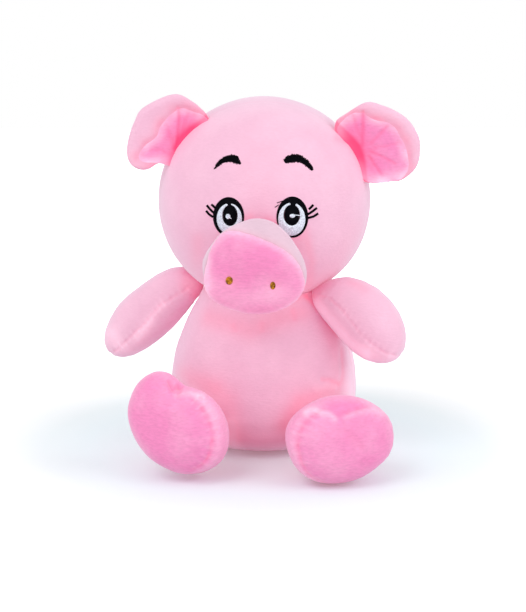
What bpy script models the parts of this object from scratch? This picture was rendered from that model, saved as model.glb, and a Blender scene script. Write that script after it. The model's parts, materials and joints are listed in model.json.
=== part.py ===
"""A plush pig that sits, 18 cm tall: sewn covers over fibre stuffing, jointed at its seams.

The toy faces -Y, its own left side is +X, and the origin is the middle of its flat seat.
Every stuffed form is written once as a stack of rings. Its cover is that form less the same
form drawn in by the fabric, and its stuffing is the form drawn in a little further.
"""

import math

import bmesh
import bpy
from mathutils import Matrix, Vector

MM = 0.001

# Fabric, thread and clearances
FABRIC = 1.2 * MM
HEM = 0.3 * MM
SKIN_GAP = 0.3 * MM
SEAM_GAP = 0.3 * MM
JOINT_GAP = 0.6 * MM
FLOOR_GAP = 0.3 * MM
THREAD = 0.7 * MM
OVERRUN = 12.0 * MM
MERGE = 0.001 * MM
SHARP_EDGE = math.radians(40.0)
ANGLE_TRIFLE = math.radians(0.001)

# Head: a ball that nests in the collar of the body
HEAD_RADIUS = 51.2 * MM
HEAD_NEST = 14.0 * MM
HEAD_FORWARD = 1.5 * MM
HEAD_SEAM_FORWARD = 15.0 * MM
NECK_OPENING = 19.0 * MM
HEAD_SIDES = 28
HEAD_RINGS = 14
FACE_TURN = math.radians(-1.5)

# Body: a pear with a flat seat, whose collar the head sinks into by its nest
BODY_HEIGHT = 86.0 * MM
HEAD_HEIGHT = BODY_HEIGHT + HEAD_RADIUS - HEAD_NEST
BELLY_HALF_WIDTH = 46.0 * MM
BELLY_HALF_DEPTH = 41.2 * MM
SEAT_SEAM_HEIGHT = 4.5 * MM
BODY_SIDES = 24
BODY_OUTLINE_SHARES = (
    (0.000, 0.56, 0.56),
    (0.020, 0.73, 0.73),
    (0.060, 0.865, 0.865),
    (0.130, 0.948, 0.95),
    (0.233, 0.993, 0.995),
    (0.349, 1.00, 1.00),
    (0.465, 0.987, 0.988),
    (0.581, 0.946, 0.951),
    (0.698, 0.87, 0.883),
    (0.791, 0.787, 0.81),
    (0.872, 0.70, 0.742),
    (0.942, 0.643, 0.703),
    (1.000, 0.60, 0.66),
)

# Bag of pellets in the seat
PELLET_BAG_RADIUS = 27.0 * MM
PELLET_BAG_HEIGHT = 17.0 * MM
PELLET_BAG_SIDES = 20
PELLET_BAG_SHARES = ((0.0, 0.76), (0.12, 0.92), (0.35, 1.0), (0.65, 0.9), (0.87, 0.62), (0.97, 0.3))

# Snout: a bulging drum on a narrower seam, with a domed face, pointing down a little
# Its drop and its shift are lengths along the ball of the head
SNOUT_LENGTH = 25.5 * MM
SNOUT_DROP = 18.3 * MM
SNOUT_SHIFT = -3.6 * MM
SNOUT_ROLL = math.radians(-6.0)
SNOUT_HALF_WIDTH = 24.4 * MM
SNOUT_HALF_HEIGHT = 22.0 * MM
SNOUT_FACE_HALF_WIDTH = 22.2 * MM
SNOUT_FACE_HALF_HEIGHT = 20.4 * MM
SNOUT_DOME = 6.0 * MM
SNOUT_SIDES = 20
SNOUT_BASE_DROP = 2.6 * MM
SNOUT_BASE_SHIFT = 1.8 * MM
SNOUT_FORM_SHARES = (
    (-0.37, 0.56, 0.55, 1.0), (0.08, 0.575, 0.565, 1.0), (0.25, 0.81, 0.79, 0.8), (0.50, 0.985, 0.98, 0.4),
    (0.76, 0.99, 0.99, 0.15),
)
SNOUT_DOME_STEPS = 3
NOSTRIL_SPREAD = 9.8 * MM
NOSTRIL_DROP = 3.9 * MM
NOSTRIL_HALF_WIDTH = 1.7 * MM
NOSTRIL_HALF_HEIGHT = 2.1 * MM

# Eyes, lashes and brows, as lengths along the ball of the head from the middle of the face
EYE_SPREAD = 14.8 * MM
EYE_RISE = -3.4 * MM
EYE_HALF_WIDTH = 7.6 * MM
EYE_HALF_HEIGHT = 9.5 * MM
EYE_WHITE_HALF_WIDTH = 6.0 * MM
EYE_WHITE_HALF_HEIGHT = 8.0 * MM
EYE_WHITE_DROP = 0.75 * MM
EYE_WHITE_OPENING = math.radians(32.0)
PUPIL_HALF_WIDTH = 3.7 * MM
PUPIL_HALF_HEIGHT = 4.9 * MM
PUPIL_RISE = 0.7 * MM
HIGHLIGHT_RADIUS = 1.4 * MM
EYE_SIDES = 18
STITCH_ROW_SHARES = (0.0, 0.55, 1.0)
LASH_WIDTH = 1.2 * MM
LASH_BASE_GAP = 0.4 * MM
LASH_SHARES = ((0.0, 0.7), (0.3, 1.0), (0.7, 0.9), (1.0, 0.45))
LASHES = (
    ("upper", 4.4 * MM, math.radians(48.0), 3.4 * MM),
    ("middle", 1.9 * MM, math.radians(38.0), 4.6 * MM),
    ("lower", -0.6 * MM, math.radians(28.0), 4.2 * MM),
)
BROW_SPREAD = 16.6 * MM
BROW_RISE = 22.2 * MM
BROW_HALF_LENGTH = 7.0 * MM
BROW_THICKNESS = 3.4 * MM
BROW_ARCH = 5.2 * MM
BROW_TILT = math.radians(-9.0)
BROW_SHARES = (
    (-1.0, 0.06), (-0.75, 0.42), (-0.5, 0.7), (-0.2, 0.92), (0.1, 1.0), (0.4, 1.0), (0.7, 0.9), (1.0, 0.66),
)

# Ears: a cupped back with a rolled rim, and a lining in the cup
EAR_REACH = 30.0 * MM
EAR_HALF_WIDTH = 21.0 * MM
EAR_RIM_RADIUS = 2.5 * MM
EAR_CENTRE_SHARE = 0.5
EAR_ROOT_SHARE = 0.07
EAR_OUTLINE_SHARES = (
    (-0.68, 0.0), (-0.86, 0.12), (-0.98, 0.32), (-0.98, 0.52), (-0.84, 0.74), (-0.52, 0.93), (-0.08, 1.0),
    (0.36, 0.98), (0.74, 0.84), (0.97, 0.58), (0.98, 0.34), (0.84, 0.13), (0.68, 0.0), (0.34, 0.05),
    (0.0, 0.07), (-0.34, 0.05),
)
EAR_SHELL_SHARES = (
    (0.45, -1.04), (0.8, -0.9), (0.95, -0.55), (1.0, 0.1), (0.965, 0.85), (0.88, 1.1), (0.79, 0.85),
    (0.745, 0.1), (0.45, -0.28),
)
EAR_SHELL_POLE_SHARES = (-0.92, -0.4)
EAR_LINING_SHARES = ((0.45, -0.14), (0.715, 0.24), (0.70, 0.72), (0.45, 0.36))
EAR_LINING_POLE_SHARES = (-0.26, 0.24)

# Arms: petals pinched flat where they are sewn into the neck seam
ARM_LENGTH = 56.0 * MM
ARM_HALF_BREADTH = 13.9 * MM
ARM_HALF_DEPTH = 12.4 * MM
ARM_ROOT_RADIUS = 1.7 * MM
ARM_ROOT_STANDOFF = 2.5 * MM
ARM_ROOT_DROP = 1.2 * MM
ARM_STUFFING_SETBACK = 7.0 * MM
ARM_SIDES = 12
ARM_FORM_SHARES = (
    (0.0, 0.14, 0.12, 0.73), (0.08, 0.38, 0.24, 0.77), (0.18, 0.70, 0.40, 0.84), (0.3, 0.95, 0.62, 0.92),
    (0.43, 1.06, 0.84, 0.98), (0.56, 1.05, 0.95, 1.0), (0.68, 1.0, 0.98, 0.98), (0.79, 0.88, 0.92, 0.91),
    (0.88, 0.70, 0.78, 0.76), (0.95, 0.46, 0.54, 0.53), (0.985, 0.25, 0.3, 0.29),
)
ARM_HEM_SHARES = ((1.0, 0.9, 0.0), (0.7, 0.97, 0.7))

# Legs: short, sewn flat on to the front of the body, each ending in a domed foot
LEG_HEIGHT = 20.0 * MM
LEG_ROOT_HALF_WIDTH = 6.5 * MM
LEG_ROOT_RADIUS = 1.8 * MM
LEG_ROOT_STANDOFF = 0.75 * MM
LEG_STUFFING_SETBACK = 5.0 * MM
LEG_SIDES = 18
FOOT_HALF_LENGTH = 26.5 * MM
FOOT_HALF_WIDTH = 21.5 * MM
FOOT_TAPER_SHARE = 0.14
FOOT_NOTCH_SHARE = 0.12
FOOT_NOTCH_ANGLE = math.radians(42.0)
FOOT_NOTCH_SPREAD = math.radians(20.0)
ANKLE_SHARE = 0.42
SOLE_SHARE = 0.84
LEG_FORM_SHARES = (
    (0.0, 0.0, 1.0), (0.07, 0.12, 1.0), (0.16, 0.32, 1.0), (0.29, 0.55, 1.0), (0.42, 0.70, 1.0),
    (0.52, 0.85, 1.0), (0.62, 0.96, 1.0), (0.73, 1.0, 1.0), (0.84, 1.0, 0.95), (0.90, 1.0, 0.85),
    (0.95, 1.0, 0.68), (0.985, 1.0, 0.4),
)

# Tail: a small curl
TAIL_HEIGHT = 30.0 * MM
TAIL_REACH = 14.0 * MM
TAIL_RADIUS = 2.6 * MM
TAIL_ROOT_SHARE = 0.6
TAIL_TIP_SHARE = 0.62
TAIL_CURL_RADIUS = 4.4 * MM
TAIL_CURL_START_SHARE = 0.12
TAIL_TURNS = 1.2
TAIL_FLICK = math.radians(20.0)
TAIL_RINGS = 14

# How each side is posed; an azimuth is measured from straight ahead round the upright axis
SIDES = {
    "left": {
        "sign": 1.0,
        "ear_angle": math.radians(60.5),
        "ear_lean_share": 0.0,
        "arm_azimuth": math.radians(62.0),
        "arm_heading": math.radians(58.0),
        "arm_droop": math.radians(32.0),
        "hip_azimuth": math.radians(30.0),
        "leg_azimuth": math.radians(20.0),
        "leg_reach": 51.0 * MM,
        "foot_roll": math.radians(55.0),
    },
    "right": {
        "sign": -1.0,
        "ear_angle": math.radians(52.0),
        "ear_lean_share": 0.22,
        "arm_azimuth": math.radians(98.0),
        "arm_heading": math.radians(98.0),
        "arm_droop": math.radians(33.5),
        "hip_azimuth": math.radians(36.0),
        "leg_azimuth": math.radians(21.0),
        "leg_reach": 46.0 * MM,
        "foot_roll": math.radians(28.0),
    },
}

PALE_PINK = (0.90, 0.53, 0.70)
DEEP_PINK = (0.93, 0.30, 0.58)
THREAD_BLACK = (0.012, 0.012, 0.016)
THREAD_WHITE = (0.74, 0.80, 0.90)
THREAD_GOLD = (0.42, 0.17, 0.02)
FIBRE_WHITE = (0.85, 0.85, 0.83)
BAG_CLOTH = (0.62, 0.58, 0.50)


def clear_scene():
    for item in list(bpy.data.objects):
        bpy.data.objects.remove(item)


def material(name, colour, roughness):
    made = bpy.data.materials.new(name)
    made.use_nodes = True
    shader = made.node_tree.nodes["Principled BSDF"]
    shader.inputs["Base Color"].default_value = (*colour, 1.0)
    shader.inputs["Roughness"].default_value = roughness
    shader.inputs["Metallic"].default_value = 0.0
    return made


def plush(name, colour=PALE_PINK):
    return material(name + "_plush", colour, 0.95)


def thread(name, colour):
    return material(name + "_thread", colour, 0.55)


def fibre(name):
    return material(name + "_fibre", FIBRE_WHITE, 1.0)


def joint_frame(name, origin, x_axis, y_axis):
    """An empty with its Y axis along a joint and its X axis away from what carries the piece."""
    y_unit = Vector(y_axis).normalized()
    z_unit = Vector(x_axis).cross(y_unit).normalized()
    x_unit = y_unit.cross(z_unit)
    empty = bpy.data.objects.new(name, None)
    turn = Matrix((x_unit, y_unit, z_unit)).transposed().to_4x4()
    empty.matrix_world = Matrix.Translation(origin) @ turn
    bpy.context.scene.collection.objects.link(empty)
    return empty


def add_object(name, mesh, finish, parent=None):
    made = bpy.data.objects.new(name, mesh)
    bpy.context.scene.collection.objects.link(made)
    if finish:
        mesh.materials.append(finish)
    if parent:
        made.parent = parent
    return made


def mesh_from(name, vertices, faces):
    """A mesh with doubled points merged, flattened faces dropped and faces turned outwards."""
    builder = bmesh.new()
    points = [builder.verts.new(place) for place in vertices]
    for face in faces:
        corners = [points[index] for index in face]
        builder.faces.new(corners)
    bmesh.ops.remove_doubles(builder, verts=builder.verts[:], dist=MERGE)
    loose = [edge for edge in builder.edges if not edge.link_faces]
    bmesh.ops.delete(builder, geom=loose, context="EDGES")
    bmesh.ops.recalc_face_normals(builder, faces=builder.faces[:])
    mesh = bpy.data.meshes.new(name)
    builder.to_mesh(mesh)
    builder.free()
    mesh.shade_smooth()
    mesh.set_sharp_from_angle(angle=SHARP_EDGE)
    return mesh


def bridge(first, second, count, closed=True):
    """Faces between two rows of the same number of points."""
    steps = count if closed else count - 1
    faces = []
    for index in range(steps):
        following = (index + 1) % count
        faces.append((first + index, first + following, second + following))
        faces.append((first + index, second + following, second + index))
    return faces


def stack_mesh(name, rings, start_pole=None, end_pole=None):
    """A closed body through a stack of rings, with a pole or a flat face at each end."""
    count = len(rings[0])
    vertices = [point for ring in rings for point in ring]
    faces = []
    for level in range(len(rings) - 1):
        faces += bridge(level * count, (level + 1) * count, count)
    last = (len(rings) - 1) * count
    for pole, base in ((start_pole, 0), (end_pole, last)):
        if pole is None:
            faces.append(tuple(range(base, base + count)))
            continue
        vertices.append(pole)
        tip = len(vertices) - 1
        faces += [(base + index, base + (index + 1) % count, tip) for index in range(count)]
    return mesh_from(name, vertices, faces)


def shell_mesh(name, outer, inner, start_poles=None, end_poles=None):
    """A wall between two stacks of rings. An end with an outer and an inner pole is closed over."""
    count = len(outer[0])
    levels = len(outer)
    vertices = [point for ring in outer + inner for point in ring]
    inside = levels * count
    faces = []
    for level in range(levels - 1):
        faces += bridge(level * count, (level + 1) * count, count)
        faces += bridge(inside + level * count, inside + (level + 1) * count, count)
    last = (levels - 1) * count
    for poles, base in ((start_poles, 0), (end_poles, last)):
        if poles is None:
            faces += bridge(base, inside + base, count)
            continue
        for pole, ring in zip(poles, (base, inside + base)):
            vertices.append(pole)
            tip = len(vertices) - 1
            faces += [(ring + index, ring + (index + 1) % count, tip) for index in range(count)]
    return mesh_from(name, vertices, faces)


def sheet_mesh(name, upper, lower, closed=False):
    """A wall between two grids of points, closed along its edges. A row may meet in one point."""
    rows = len(upper)
    count = len(upper[0])
    vertices = [point for row in upper + lower for point in row]
    under = rows * count
    faces = []
    row_steps = rows if closed else rows - 1
    for row in range(row_steps):
        near = row * count
        far = ((row + 1) % rows) * count
        faces += bridge(near, far, count, closed=False)
        faces += bridge(under + near, under + far, count, closed=False)
        for edge in (0, count - 1):
            faces.append((near + edge, far + edge, under + far + edge))
            faces.append((near + edge, under + far + edge, under + near + edge))
    if not closed:
        for row in (0, rows - 1):
            near = row * count
            faces += bridge(near, under + near, count, closed=False)
    return mesh_from(name, vertices, faces)


def cutter(name, mesh, parent=None):
    made = add_object(name, mesh, None, parent)
    made.hide_render = True
    made.display_type = "WIRE"
    return made


def cut(target, *tools):
    for tool in tools:
        modifier = target.modifiers.new(tool.name, "BOOLEAN")
        modifier.operation = "DIFFERENCE"
        modifier.object = tool


def block_cutter(name, low, high):
    """A box between two corners, for cutting a form along a seam."""
    builder = bmesh.new()
    size = Vector(high) - Vector(low)
    middle = (Vector(high) + Vector(low)) / 2
    place = Matrix.Translation(middle) @ Matrix.Diagonal((*size, 1.0))
    bmesh.ops.create_cube(builder, size=1.0, matrix=place)
    mesh = bpy.data.meshes.new(name)
    builder.to_mesh(mesh)
    builder.free()
    return cutter(name, mesh)


def head_centre():
    return Vector((0.0, -HEAD_FORWARD, HEAD_HEIGHT))


def ball_mesh(name, radius):
    builder = bmesh.new()
    bmesh.ops.create_uvsphere(
        builder, u_segments=HEAD_SIDES, v_segments=HEAD_RINGS, radius=radius,
        matrix=Matrix.Translation(head_centre()),
    )
    mesh = bpy.data.meshes.new(name)
    builder.to_mesh(mesh)
    builder.free()
    mesh.shade_smooth()
    return mesh


def ellipse(half_x, half_y, sides, place):
    """Points round an ellipse, each handed to place(x, y)."""
    ring = []
    for index in range(sides):
        angle = math.tau * index / sides
        ring.append(place(half_x * math.cos(angle), half_y * math.sin(angle)))
    return ring


def share_at(shares, position):
    """The values of a table of shares at a position between its rows."""
    for lower, upper in zip(shares, shares[1:]):
        if position <= upper[0]:
            part = max(0.0, (position - lower[0]) / (upper[0] - lower[0]))
            return [a + (b - a) * part for a, b in zip(lower[1:], upper[1:])]
    return list(shares[-1][1:])


# Body

def body_half_sizes(height):
    width_share, depth_share = share_at(BODY_OUTLINE_SHARES, height / BODY_HEIGHT)
    return BELLY_HALF_WIDTH * width_share, BELLY_HALF_DEPTH * depth_share


def body_surface(azimuth, height):
    """The point of the body's skin at an azimuth, and the level normal there."""
    half_width, half_depth = body_half_sizes(height)
    across = math.sin(azimuth)
    ahead = math.cos(azimuth)
    reach = 1.0 / math.hypot(across / half_width, ahead / half_depth)
    point = Vector((across * reach, -ahead * reach, height))
    normal = Vector((point.x / half_width ** 2, point.y / half_depth ** 2, 0.0)).normalized()
    return point, normal


def collar_height():
    """Where the side of the body meets the hollow that the head nests in."""
    low, high = BODY_HEIGHT / 2, BODY_HEIGHT
    nest = HEAD_RADIUS + JOINT_GAP
    for _ in range(40):
        middle = (low + high) / 2
        below = max(HEAD_HEIGHT - middle, 0.0)
        ball_radius = math.sqrt(max(nest ** 2 - below ** 2, 0.0))
        if ball_radius < body_half_sizes(middle)[0]:
            low = middle
        else:
            high = middle
    return (low + high) / 2


def body_form(name, inset, top_overrun=0.0):
    rings = []
    for height_share, width_share, depth_share in BODY_OUTLINE_SHARES:
        height = inset + (BODY_HEIGHT - inset) * height_share
        if height_share == 1.0:
            height += top_overrun
        rings.append(ellipse(
            BELLY_HALF_WIDTH * width_share - inset, BELLY_HALF_DEPTH * depth_share - inset, BODY_SIDES,
            lambda x, y, level=height: Vector((x, y, level)),
        ))
    return stack_mesh(name, rings)


def pellet_form(name, growth=0.0):
    """The bag of pellets on the seat. Grown, it is the hollow for the bag and runs down through the seat."""
    bottom = FABRIC + SKIN_GAP
    levels = [
        (bottom + (PELLET_BAG_HEIGHT + growth) * rise_share, PELLET_BAG_RADIUS * radius_share + growth)
        for rise_share, radius_share in PELLET_BAG_SHARES
    ]
    if growth:
        levels.insert(0, (0.0, levels[0][1]))
    rings = [
        ellipse(radius, radius, PELLET_BAG_SIDES, lambda x, y, z=level: Vector((x, y, z)))
        for level, radius in levels
    ]
    return stack_mesh(name, rings, end_pole=Vector((0.0, 0.0, bottom + PELLET_BAG_HEIGHT + growth)))


def make_body():
    reach = BELLY_HALF_WIDTH + OVERRUN
    top = BODY_HEIGHT + OVERRUN
    half_gap = SEAM_GAP / 2
    nest = cutter("head_nest_cutter", ball_mesh("head_nest", HEAD_RADIUS + JOINT_GAP))
    inner = cutter("body_inner_cutter", body_form("body_inner", FABRIC, OVERRUN))
    behind = block_cutter("body_behind_cutter", (-reach, -half_gap, -reach), (reach, reach, top))
    ahead = block_cutter("body_ahead_cutter", (-reach, -reach, -reach), (reach, half_gap, top))
    seat_cut = (-reach, -reach, -reach), (reach, reach, SEAT_SEAM_HEIGHT + half_gap)
    seat = block_cutter("seat_side_cutter", *seat_cut)
    wall_cut = (-reach, -reach, SEAT_SEAM_HEIGHT - half_gap), (reach, reach, top + OVERRUN)
    wall = block_cutter("wall_side_cutter", *wall_cut)

    for name, half in (("body_front_panel", behind), ("body_back_panel", ahead)):
        panel = add_object(name, body_form(name, 0.0), plush(name))
        cut(panel, inner, nest, half, seat)
    name = "seat_panel"
    panel = add_object(name, body_form(name, 0.0), plush(name))
    cut(panel, inner, wall)

    name = "body_stuffing"
    stuffing = add_object(name, body_form(name, FABRIC + SKIN_GAP), fibre(name))
    hollow = pellet_form("pellet_hollow", SKIN_GAP)
    cut(stuffing, nest, cutter("pellet_hollow_cutter", hollow))
    name = "pellet_bag"
    add_object(name, pellet_form(name), material("pellet_bag_cloth", BAG_CLOTH, 0.9))


def make_tail():
    point, normal = body_surface(math.pi, TAIL_HEIGHT)
    origin = point + normal * (TAIL_RADIUS * TAIL_ROOT_SHARE * math.sin(TAIL_FLICK) + SKIN_GAP)
    joint = joint_frame("tail_joint", origin, normal, (1.0, 0.0, 0.0))
    curve = bpy.data.curves.new("tail", "CURVE")
    curve.dimensions = "3D"
    curve.bevel_depth = TAIL_RADIUS
    curve.bevel_resolution = 2
    curve.use_fill_caps = True
    spline = curve.splines.new("POLY")
    spline.points.add(TAIL_RINGS - 1)
    for index, point in enumerate(spline.points):
        share = index / (TAIL_RINGS - 1)
        curled = max(0.0, share - TAIL_CURL_START_SHARE) / (1.0 - TAIL_CURL_START_SHARE)
        angle = math.tau * TAIL_TURNS * curled
        point.co = (
            TAIL_REACH * share, TAIL_CURL_RADIUS * math.sin(angle),
            -TAIL_CURL_RADIUS * (1.0 - math.cos(angle)), 1.0,
        )
        rising = TAIL_ROOT_SHARE + (1.0 - TAIL_ROOT_SHARE) * min(1.0, share / TAIL_CURL_START_SHARE)
        point.radius = rising + (TAIL_TIP_SHARE - 1.0) * curled
    add_object("tail", curve, plush("tail"), joint)


# Head

def make_head(joint):
    reach = HEAD_RADIUS + OVERRUN
    centre = head_centre()
    seam = centre.y - HEAD_SEAM_FORWARD
    half_gap = SEAM_GAP / 2
    low = Vector((-reach, 0.0, centre.z - reach))
    high = Vector((reach, 0.0, centre.z + reach))
    inner = cutter("head_inner_cutter", ball_mesh("head_inner", HEAD_RADIUS - FABRIC))
    behind = block_cutter(
        "head_behind_cutter", (low.x, seam - half_gap, low.z), (high.x, centre.y + reach, high.z),
    )
    ahead = block_cutter(
        "head_ahead_cutter", (low.x, centre.y - reach, low.z), (high.x, seam + half_gap, high.z),
    )
    neck_rings = [
        ellipse(
            NECK_OPENING, NECK_OPENING, HEAD_SIDES,
            lambda x, y, z=level: Vector((centre.x + x, centre.y + y, z)),
        )
        for level in (centre.z - reach, centre.z - HEAD_RADIUS / 2)
    ]
    neck = cutter("neck_cutter", stack_mesh("neck_opening", neck_rings))
    for name, half in (("head_face_panel", behind), ("head_back_panel", ahead)):
        panel = add_object(name, ball_mesh(name, HEAD_RADIUS), plush(name))
        cut(panel, inner, half, neck)
    name = "head_stuffing"
    add_object(name, ball_mesh(name, HEAD_RADIUS - FABRIC - SKIN_GAP), fibre(name))
    for item in bpy.data.objects:
        if item.name in ("head_face_panel", "head_back_panel", "head_stuffing"):
            item.parent = joint
            item.matrix_parent_inverse = joint.matrix_world.inverted()


def snout_seam():
    """Distance from the middle of the head to the seam round the snout's face."""
    return HEAD_RADIUS + SNOUT_LENGTH - SNOUT_DOME


def snout_rings(inset, seam_gap):
    """Rings of the snout from inside the head to the seam round its face."""
    length = snout_seam() - HEAD_RADIUS
    rings = []
    for position, width_share, height_share, shift_share in SNOUT_FORM_SHARES:
        rings.append(ellipse(
            SNOUT_HALF_WIDTH * width_share - inset, SNOUT_HALF_HEIGHT * height_share - inset, SNOUT_SIDES,
            lambda x, y, level=HEAD_RADIUS + length * position, shift=shift_share: Vector((
                level, x + SNOUT_BASE_SHIFT * shift, y - SNOUT_BASE_DROP * shift,
            )),
        ))
    rings.append(ellipse(
        SNOUT_FACE_HALF_WIDTH - inset, SNOUT_FACE_HALF_HEIGHT - inset, SNOUT_SIDES,
        lambda x, y: Vector((snout_seam() - seam_gap, x, y)),
    ))
    return rings


def snout_dome_point(inset, across, up, lift=0.0):
    """A point of the domed face, in the snout's own frame."""
    width = SNOUT_FACE_HALF_WIDTH - inset
    height = SNOUT_FACE_HALF_HEIGHT - inset
    spread = min(1.0, (across / width) ** 2 + (up / height) ** 2)
    dome = (SNOUT_DOME - inset) * math.sqrt(1.0 - spread)
    return Vector((snout_seam() + dome + lift, across, up))


def snout_dome_rings(inset):
    rings = []
    for step in range(SNOUT_DOME_STEPS):
        size = math.cos(math.pi / 2 * step / SNOUT_DOME_STEPS)
        rings.append(ellipse(
            (SNOUT_FACE_HALF_WIDTH - inset) * size, (SNOUT_FACE_HALF_HEIGHT - inset) * size, SNOUT_SIDES,
            lambda x, y: snout_dome_point(inset, x, y),
        ))
    return rings


def make_snout(head_joint):
    drop = SNOUT_DROP / HEAD_RADIUS
    turn = SNOUT_SHIFT / HEAD_RADIUS
    direction = Vector((
        math.sin(turn) * math.cos(drop),
        -math.cos(turn) * math.cos(drop),
        -math.sin(drop),
    ))
    level = direction.cross(Vector((0.0, 0.0, -1.0))).normalized()
    across = Matrix.Rotation(SNOUT_ROLL, 3, direction) @ level
    frame = joint_frame("snout_frame", head_centre(), direction, across)
    nest = cutter("snout_nest_cutter", ball_mesh("snout_nest", HEAD_RADIUS + SEAM_GAP))

    name = "snout_gusset"
    mesh = shell_mesh(name, snout_rings(0.0, SEAM_GAP), snout_rings(FABRIC, SEAM_GAP))
    gusset = add_object(name, mesh, plush(name), frame)
    cut(gusset, nest)

    name = "snout_face"
    poles = [snout_dome_point(inset, 0.0, 0.0) for inset in (0.0, FABRIC)]
    mesh = shell_mesh(name, snout_dome_rings(0.0), snout_dome_rings(FABRIC), end_poles=poles)
    add_object(name, mesh, plush(name, DEEP_PINK), frame)

    name = "snout_stuffing"
    inset = FABRIC + SKIN_GAP
    rings = snout_rings(inset, SEAM_GAP) + snout_dome_rings(inset)
    mesh = stack_mesh(name, rings, end_pole=snout_dome_point(inset, 0.0, 0.0))
    stuffing = add_object(name, mesh, fibre(name), frame)
    cut(stuffing, nest)

    for side, settings in SIDES.items():
        name = "nostril_" + side
        middle = settings["sign"] * NOSTRIL_SPREAD
        grids = []
        for lift in (SEAM_GAP + THREAD, SEAM_GAP):
            rows = []
            for index in range(EYE_SIDES // 2):
                angle = math.tau * index / (EYE_SIDES // 2)
                rows.append([
                    snout_dome_point(
                        0.0, middle + NOSTRIL_HALF_WIDTH * math.cos(angle) * share,
                        -NOSTRIL_DROP + NOSTRIL_HALF_HEIGHT * math.sin(angle) * share, lift,
                    )
                    for share in STITCH_ROW_SHARES
                ])
            grids.append(rows)
        mesh = sheet_mesh(name, grids[0], grids[1], closed=True)
        add_object(name, mesh, thread(name, THREAD_GOLD), frame)
    for item in (frame, nest):
        item.parent = head_joint
        item.matrix_parent_inverse = head_joint.matrix_world.inverted()


def on_head(across, up, lift):
    """A point over the ball of the head, from lengths measured along it from the middle of the face."""
    latitude = up / HEAD_RADIUS
    longitude = across / (HEAD_RADIUS * math.cos(latitude)) + FACE_TURN
    radius = HEAD_RADIUS + lift
    return head_centre() + Vector((
        radius * math.cos(latitude) * math.sin(longitude),
        -radius * math.cos(latitude) * math.cos(longitude),
        radius * math.sin(latitude),
    ))


def stitched(name, rows, colour, head_joint, closed=False, growth=0.0):
    """A patch of satin stitch on the head, from a grid of places on its face."""
    upper = [[on_head(x, y, SEAM_GAP + THREAD + growth) for x, y in row] for row in rows]
    lower = [[on_head(x, y, SEAM_GAP - growth) for x, y in row] for row in rows]
    mesh = sheet_mesh(name, upper, lower, closed)
    if growth:
        made = cutter(name, mesh)
    else:
        made = add_object(name, mesh, thread(name, colour))
    made.parent = head_joint
    made.matrix_parent_inverse = head_joint.matrix_world.inverted()
    return made


def disc_rows(middle_x, middle_y, half_width, half_height, shares, sides=EYE_SIDES):
    rows = []
    for index in range(sides):
        angle = math.tau * index / sides
        rows.append([
            (
                middle_x + half_width * share * math.cos(angle),
                middle_y + half_height * share * math.sin(angle),
            )
            for share in shares
        ])
    return rows


def eye_white_rows(middle, growth):
    """The horseshoe round the pupil, open at the top, drawn in at its two tips."""
    rows = []
    steps = EYE_SIDES
    opening = EYE_WHITE_OPENING - growth / PUPIL_HALF_WIDTH
    for index in range(steps + 1):
        angle = math.pi / 2 + opening + (math.tau - 2 * opening) * index / steps
        cosine = math.cos(angle)
        sine = math.sin(angle)
        inner = Vector((
            (PUPIL_HALF_WIDTH - growth) * cosine,
            (PUPIL_HALF_HEIGHT - growth) * sine + PUPIL_RISE,
        ))
        outer = Vector((
            (EYE_WHITE_HALF_WIDTH + growth) * cosine,
            (EYE_WHITE_HALF_HEIGHT + growth) * sine - EYE_WHITE_DROP,
        ))
        row = [inner.lerp(outer, share) for share in STITCH_ROW_SHARES]
        rows.append([(middle + place.x, EYE_RISE + place.y) for place in row])
    return rows


def make_eye(side, sign, head_joint):
    middle = sign * EYE_SPREAD
    black = stitched(
        "eye_black_" + side,
        disc_rows(middle, EYE_RISE, EYE_HALF_WIDTH, EYE_HALF_HEIGHT, STITCH_ROW_SHARES),
        THREAD_BLACK, head_joint, closed=True,
    )
    white_hollow = stitched(
        "eye_white_cutter_" + side, eye_white_rows(middle, SEAM_GAP), None, head_joint, growth=SEAM_GAP,
    )
    stitched("eye_white_" + side, eye_white_rows(middle, 0.0), THREAD_WHITE, head_joint)
    dot_sides = EYE_SIDES // 2
    dot_rise = EYE_RISE + PUPIL_RISE
    grown = HIGHLIGHT_RADIUS + SEAM_GAP
    dot_hollow = stitched(
        "eye_highlight_cutter_" + side,
        disc_rows(middle, dot_rise, grown, grown, (0.0, 1.0), dot_sides),
        None, head_joint, closed=True, growth=SEAM_GAP,
    )
    stitched(
        "eye_highlight_" + side,
        disc_rows(middle, dot_rise, HIGHLIGHT_RADIUS, HIGHLIGHT_RADIUS, (0.0, 1.0), dot_sides),
        THREAD_WHITE, head_joint, closed=True,
    )
    cut(black, white_hollow, dot_hollow)


def make_lashes(side, sign, head_joint):
    for name, rise, angle, length in LASHES:
        edge = EYE_HALF_WIDTH * math.sqrt(1.0 - (rise / EYE_HALF_HEIGHT) ** 2)
        start = Vector((edge + LASH_BASE_GAP + LASH_WIDTH / 2, rise))
        along = Vector((math.cos(angle), math.sin(angle)))
        aside = Vector((-along.y, along.x))
        rows = []
        for share, width_share in LASH_SHARES:
            row = []
            for edge_share in (-0.5, 0.5):
                place = start + along * length * share + aside * LASH_WIDTH * width_share * edge_share
                row.append((sign * (EYE_SPREAD + place.x), EYE_RISE + place.y))
            rows.append(row)
        stitched("eyelash_" + side + "_" + name, rows, THREAD_BLACK, head_joint)


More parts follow.
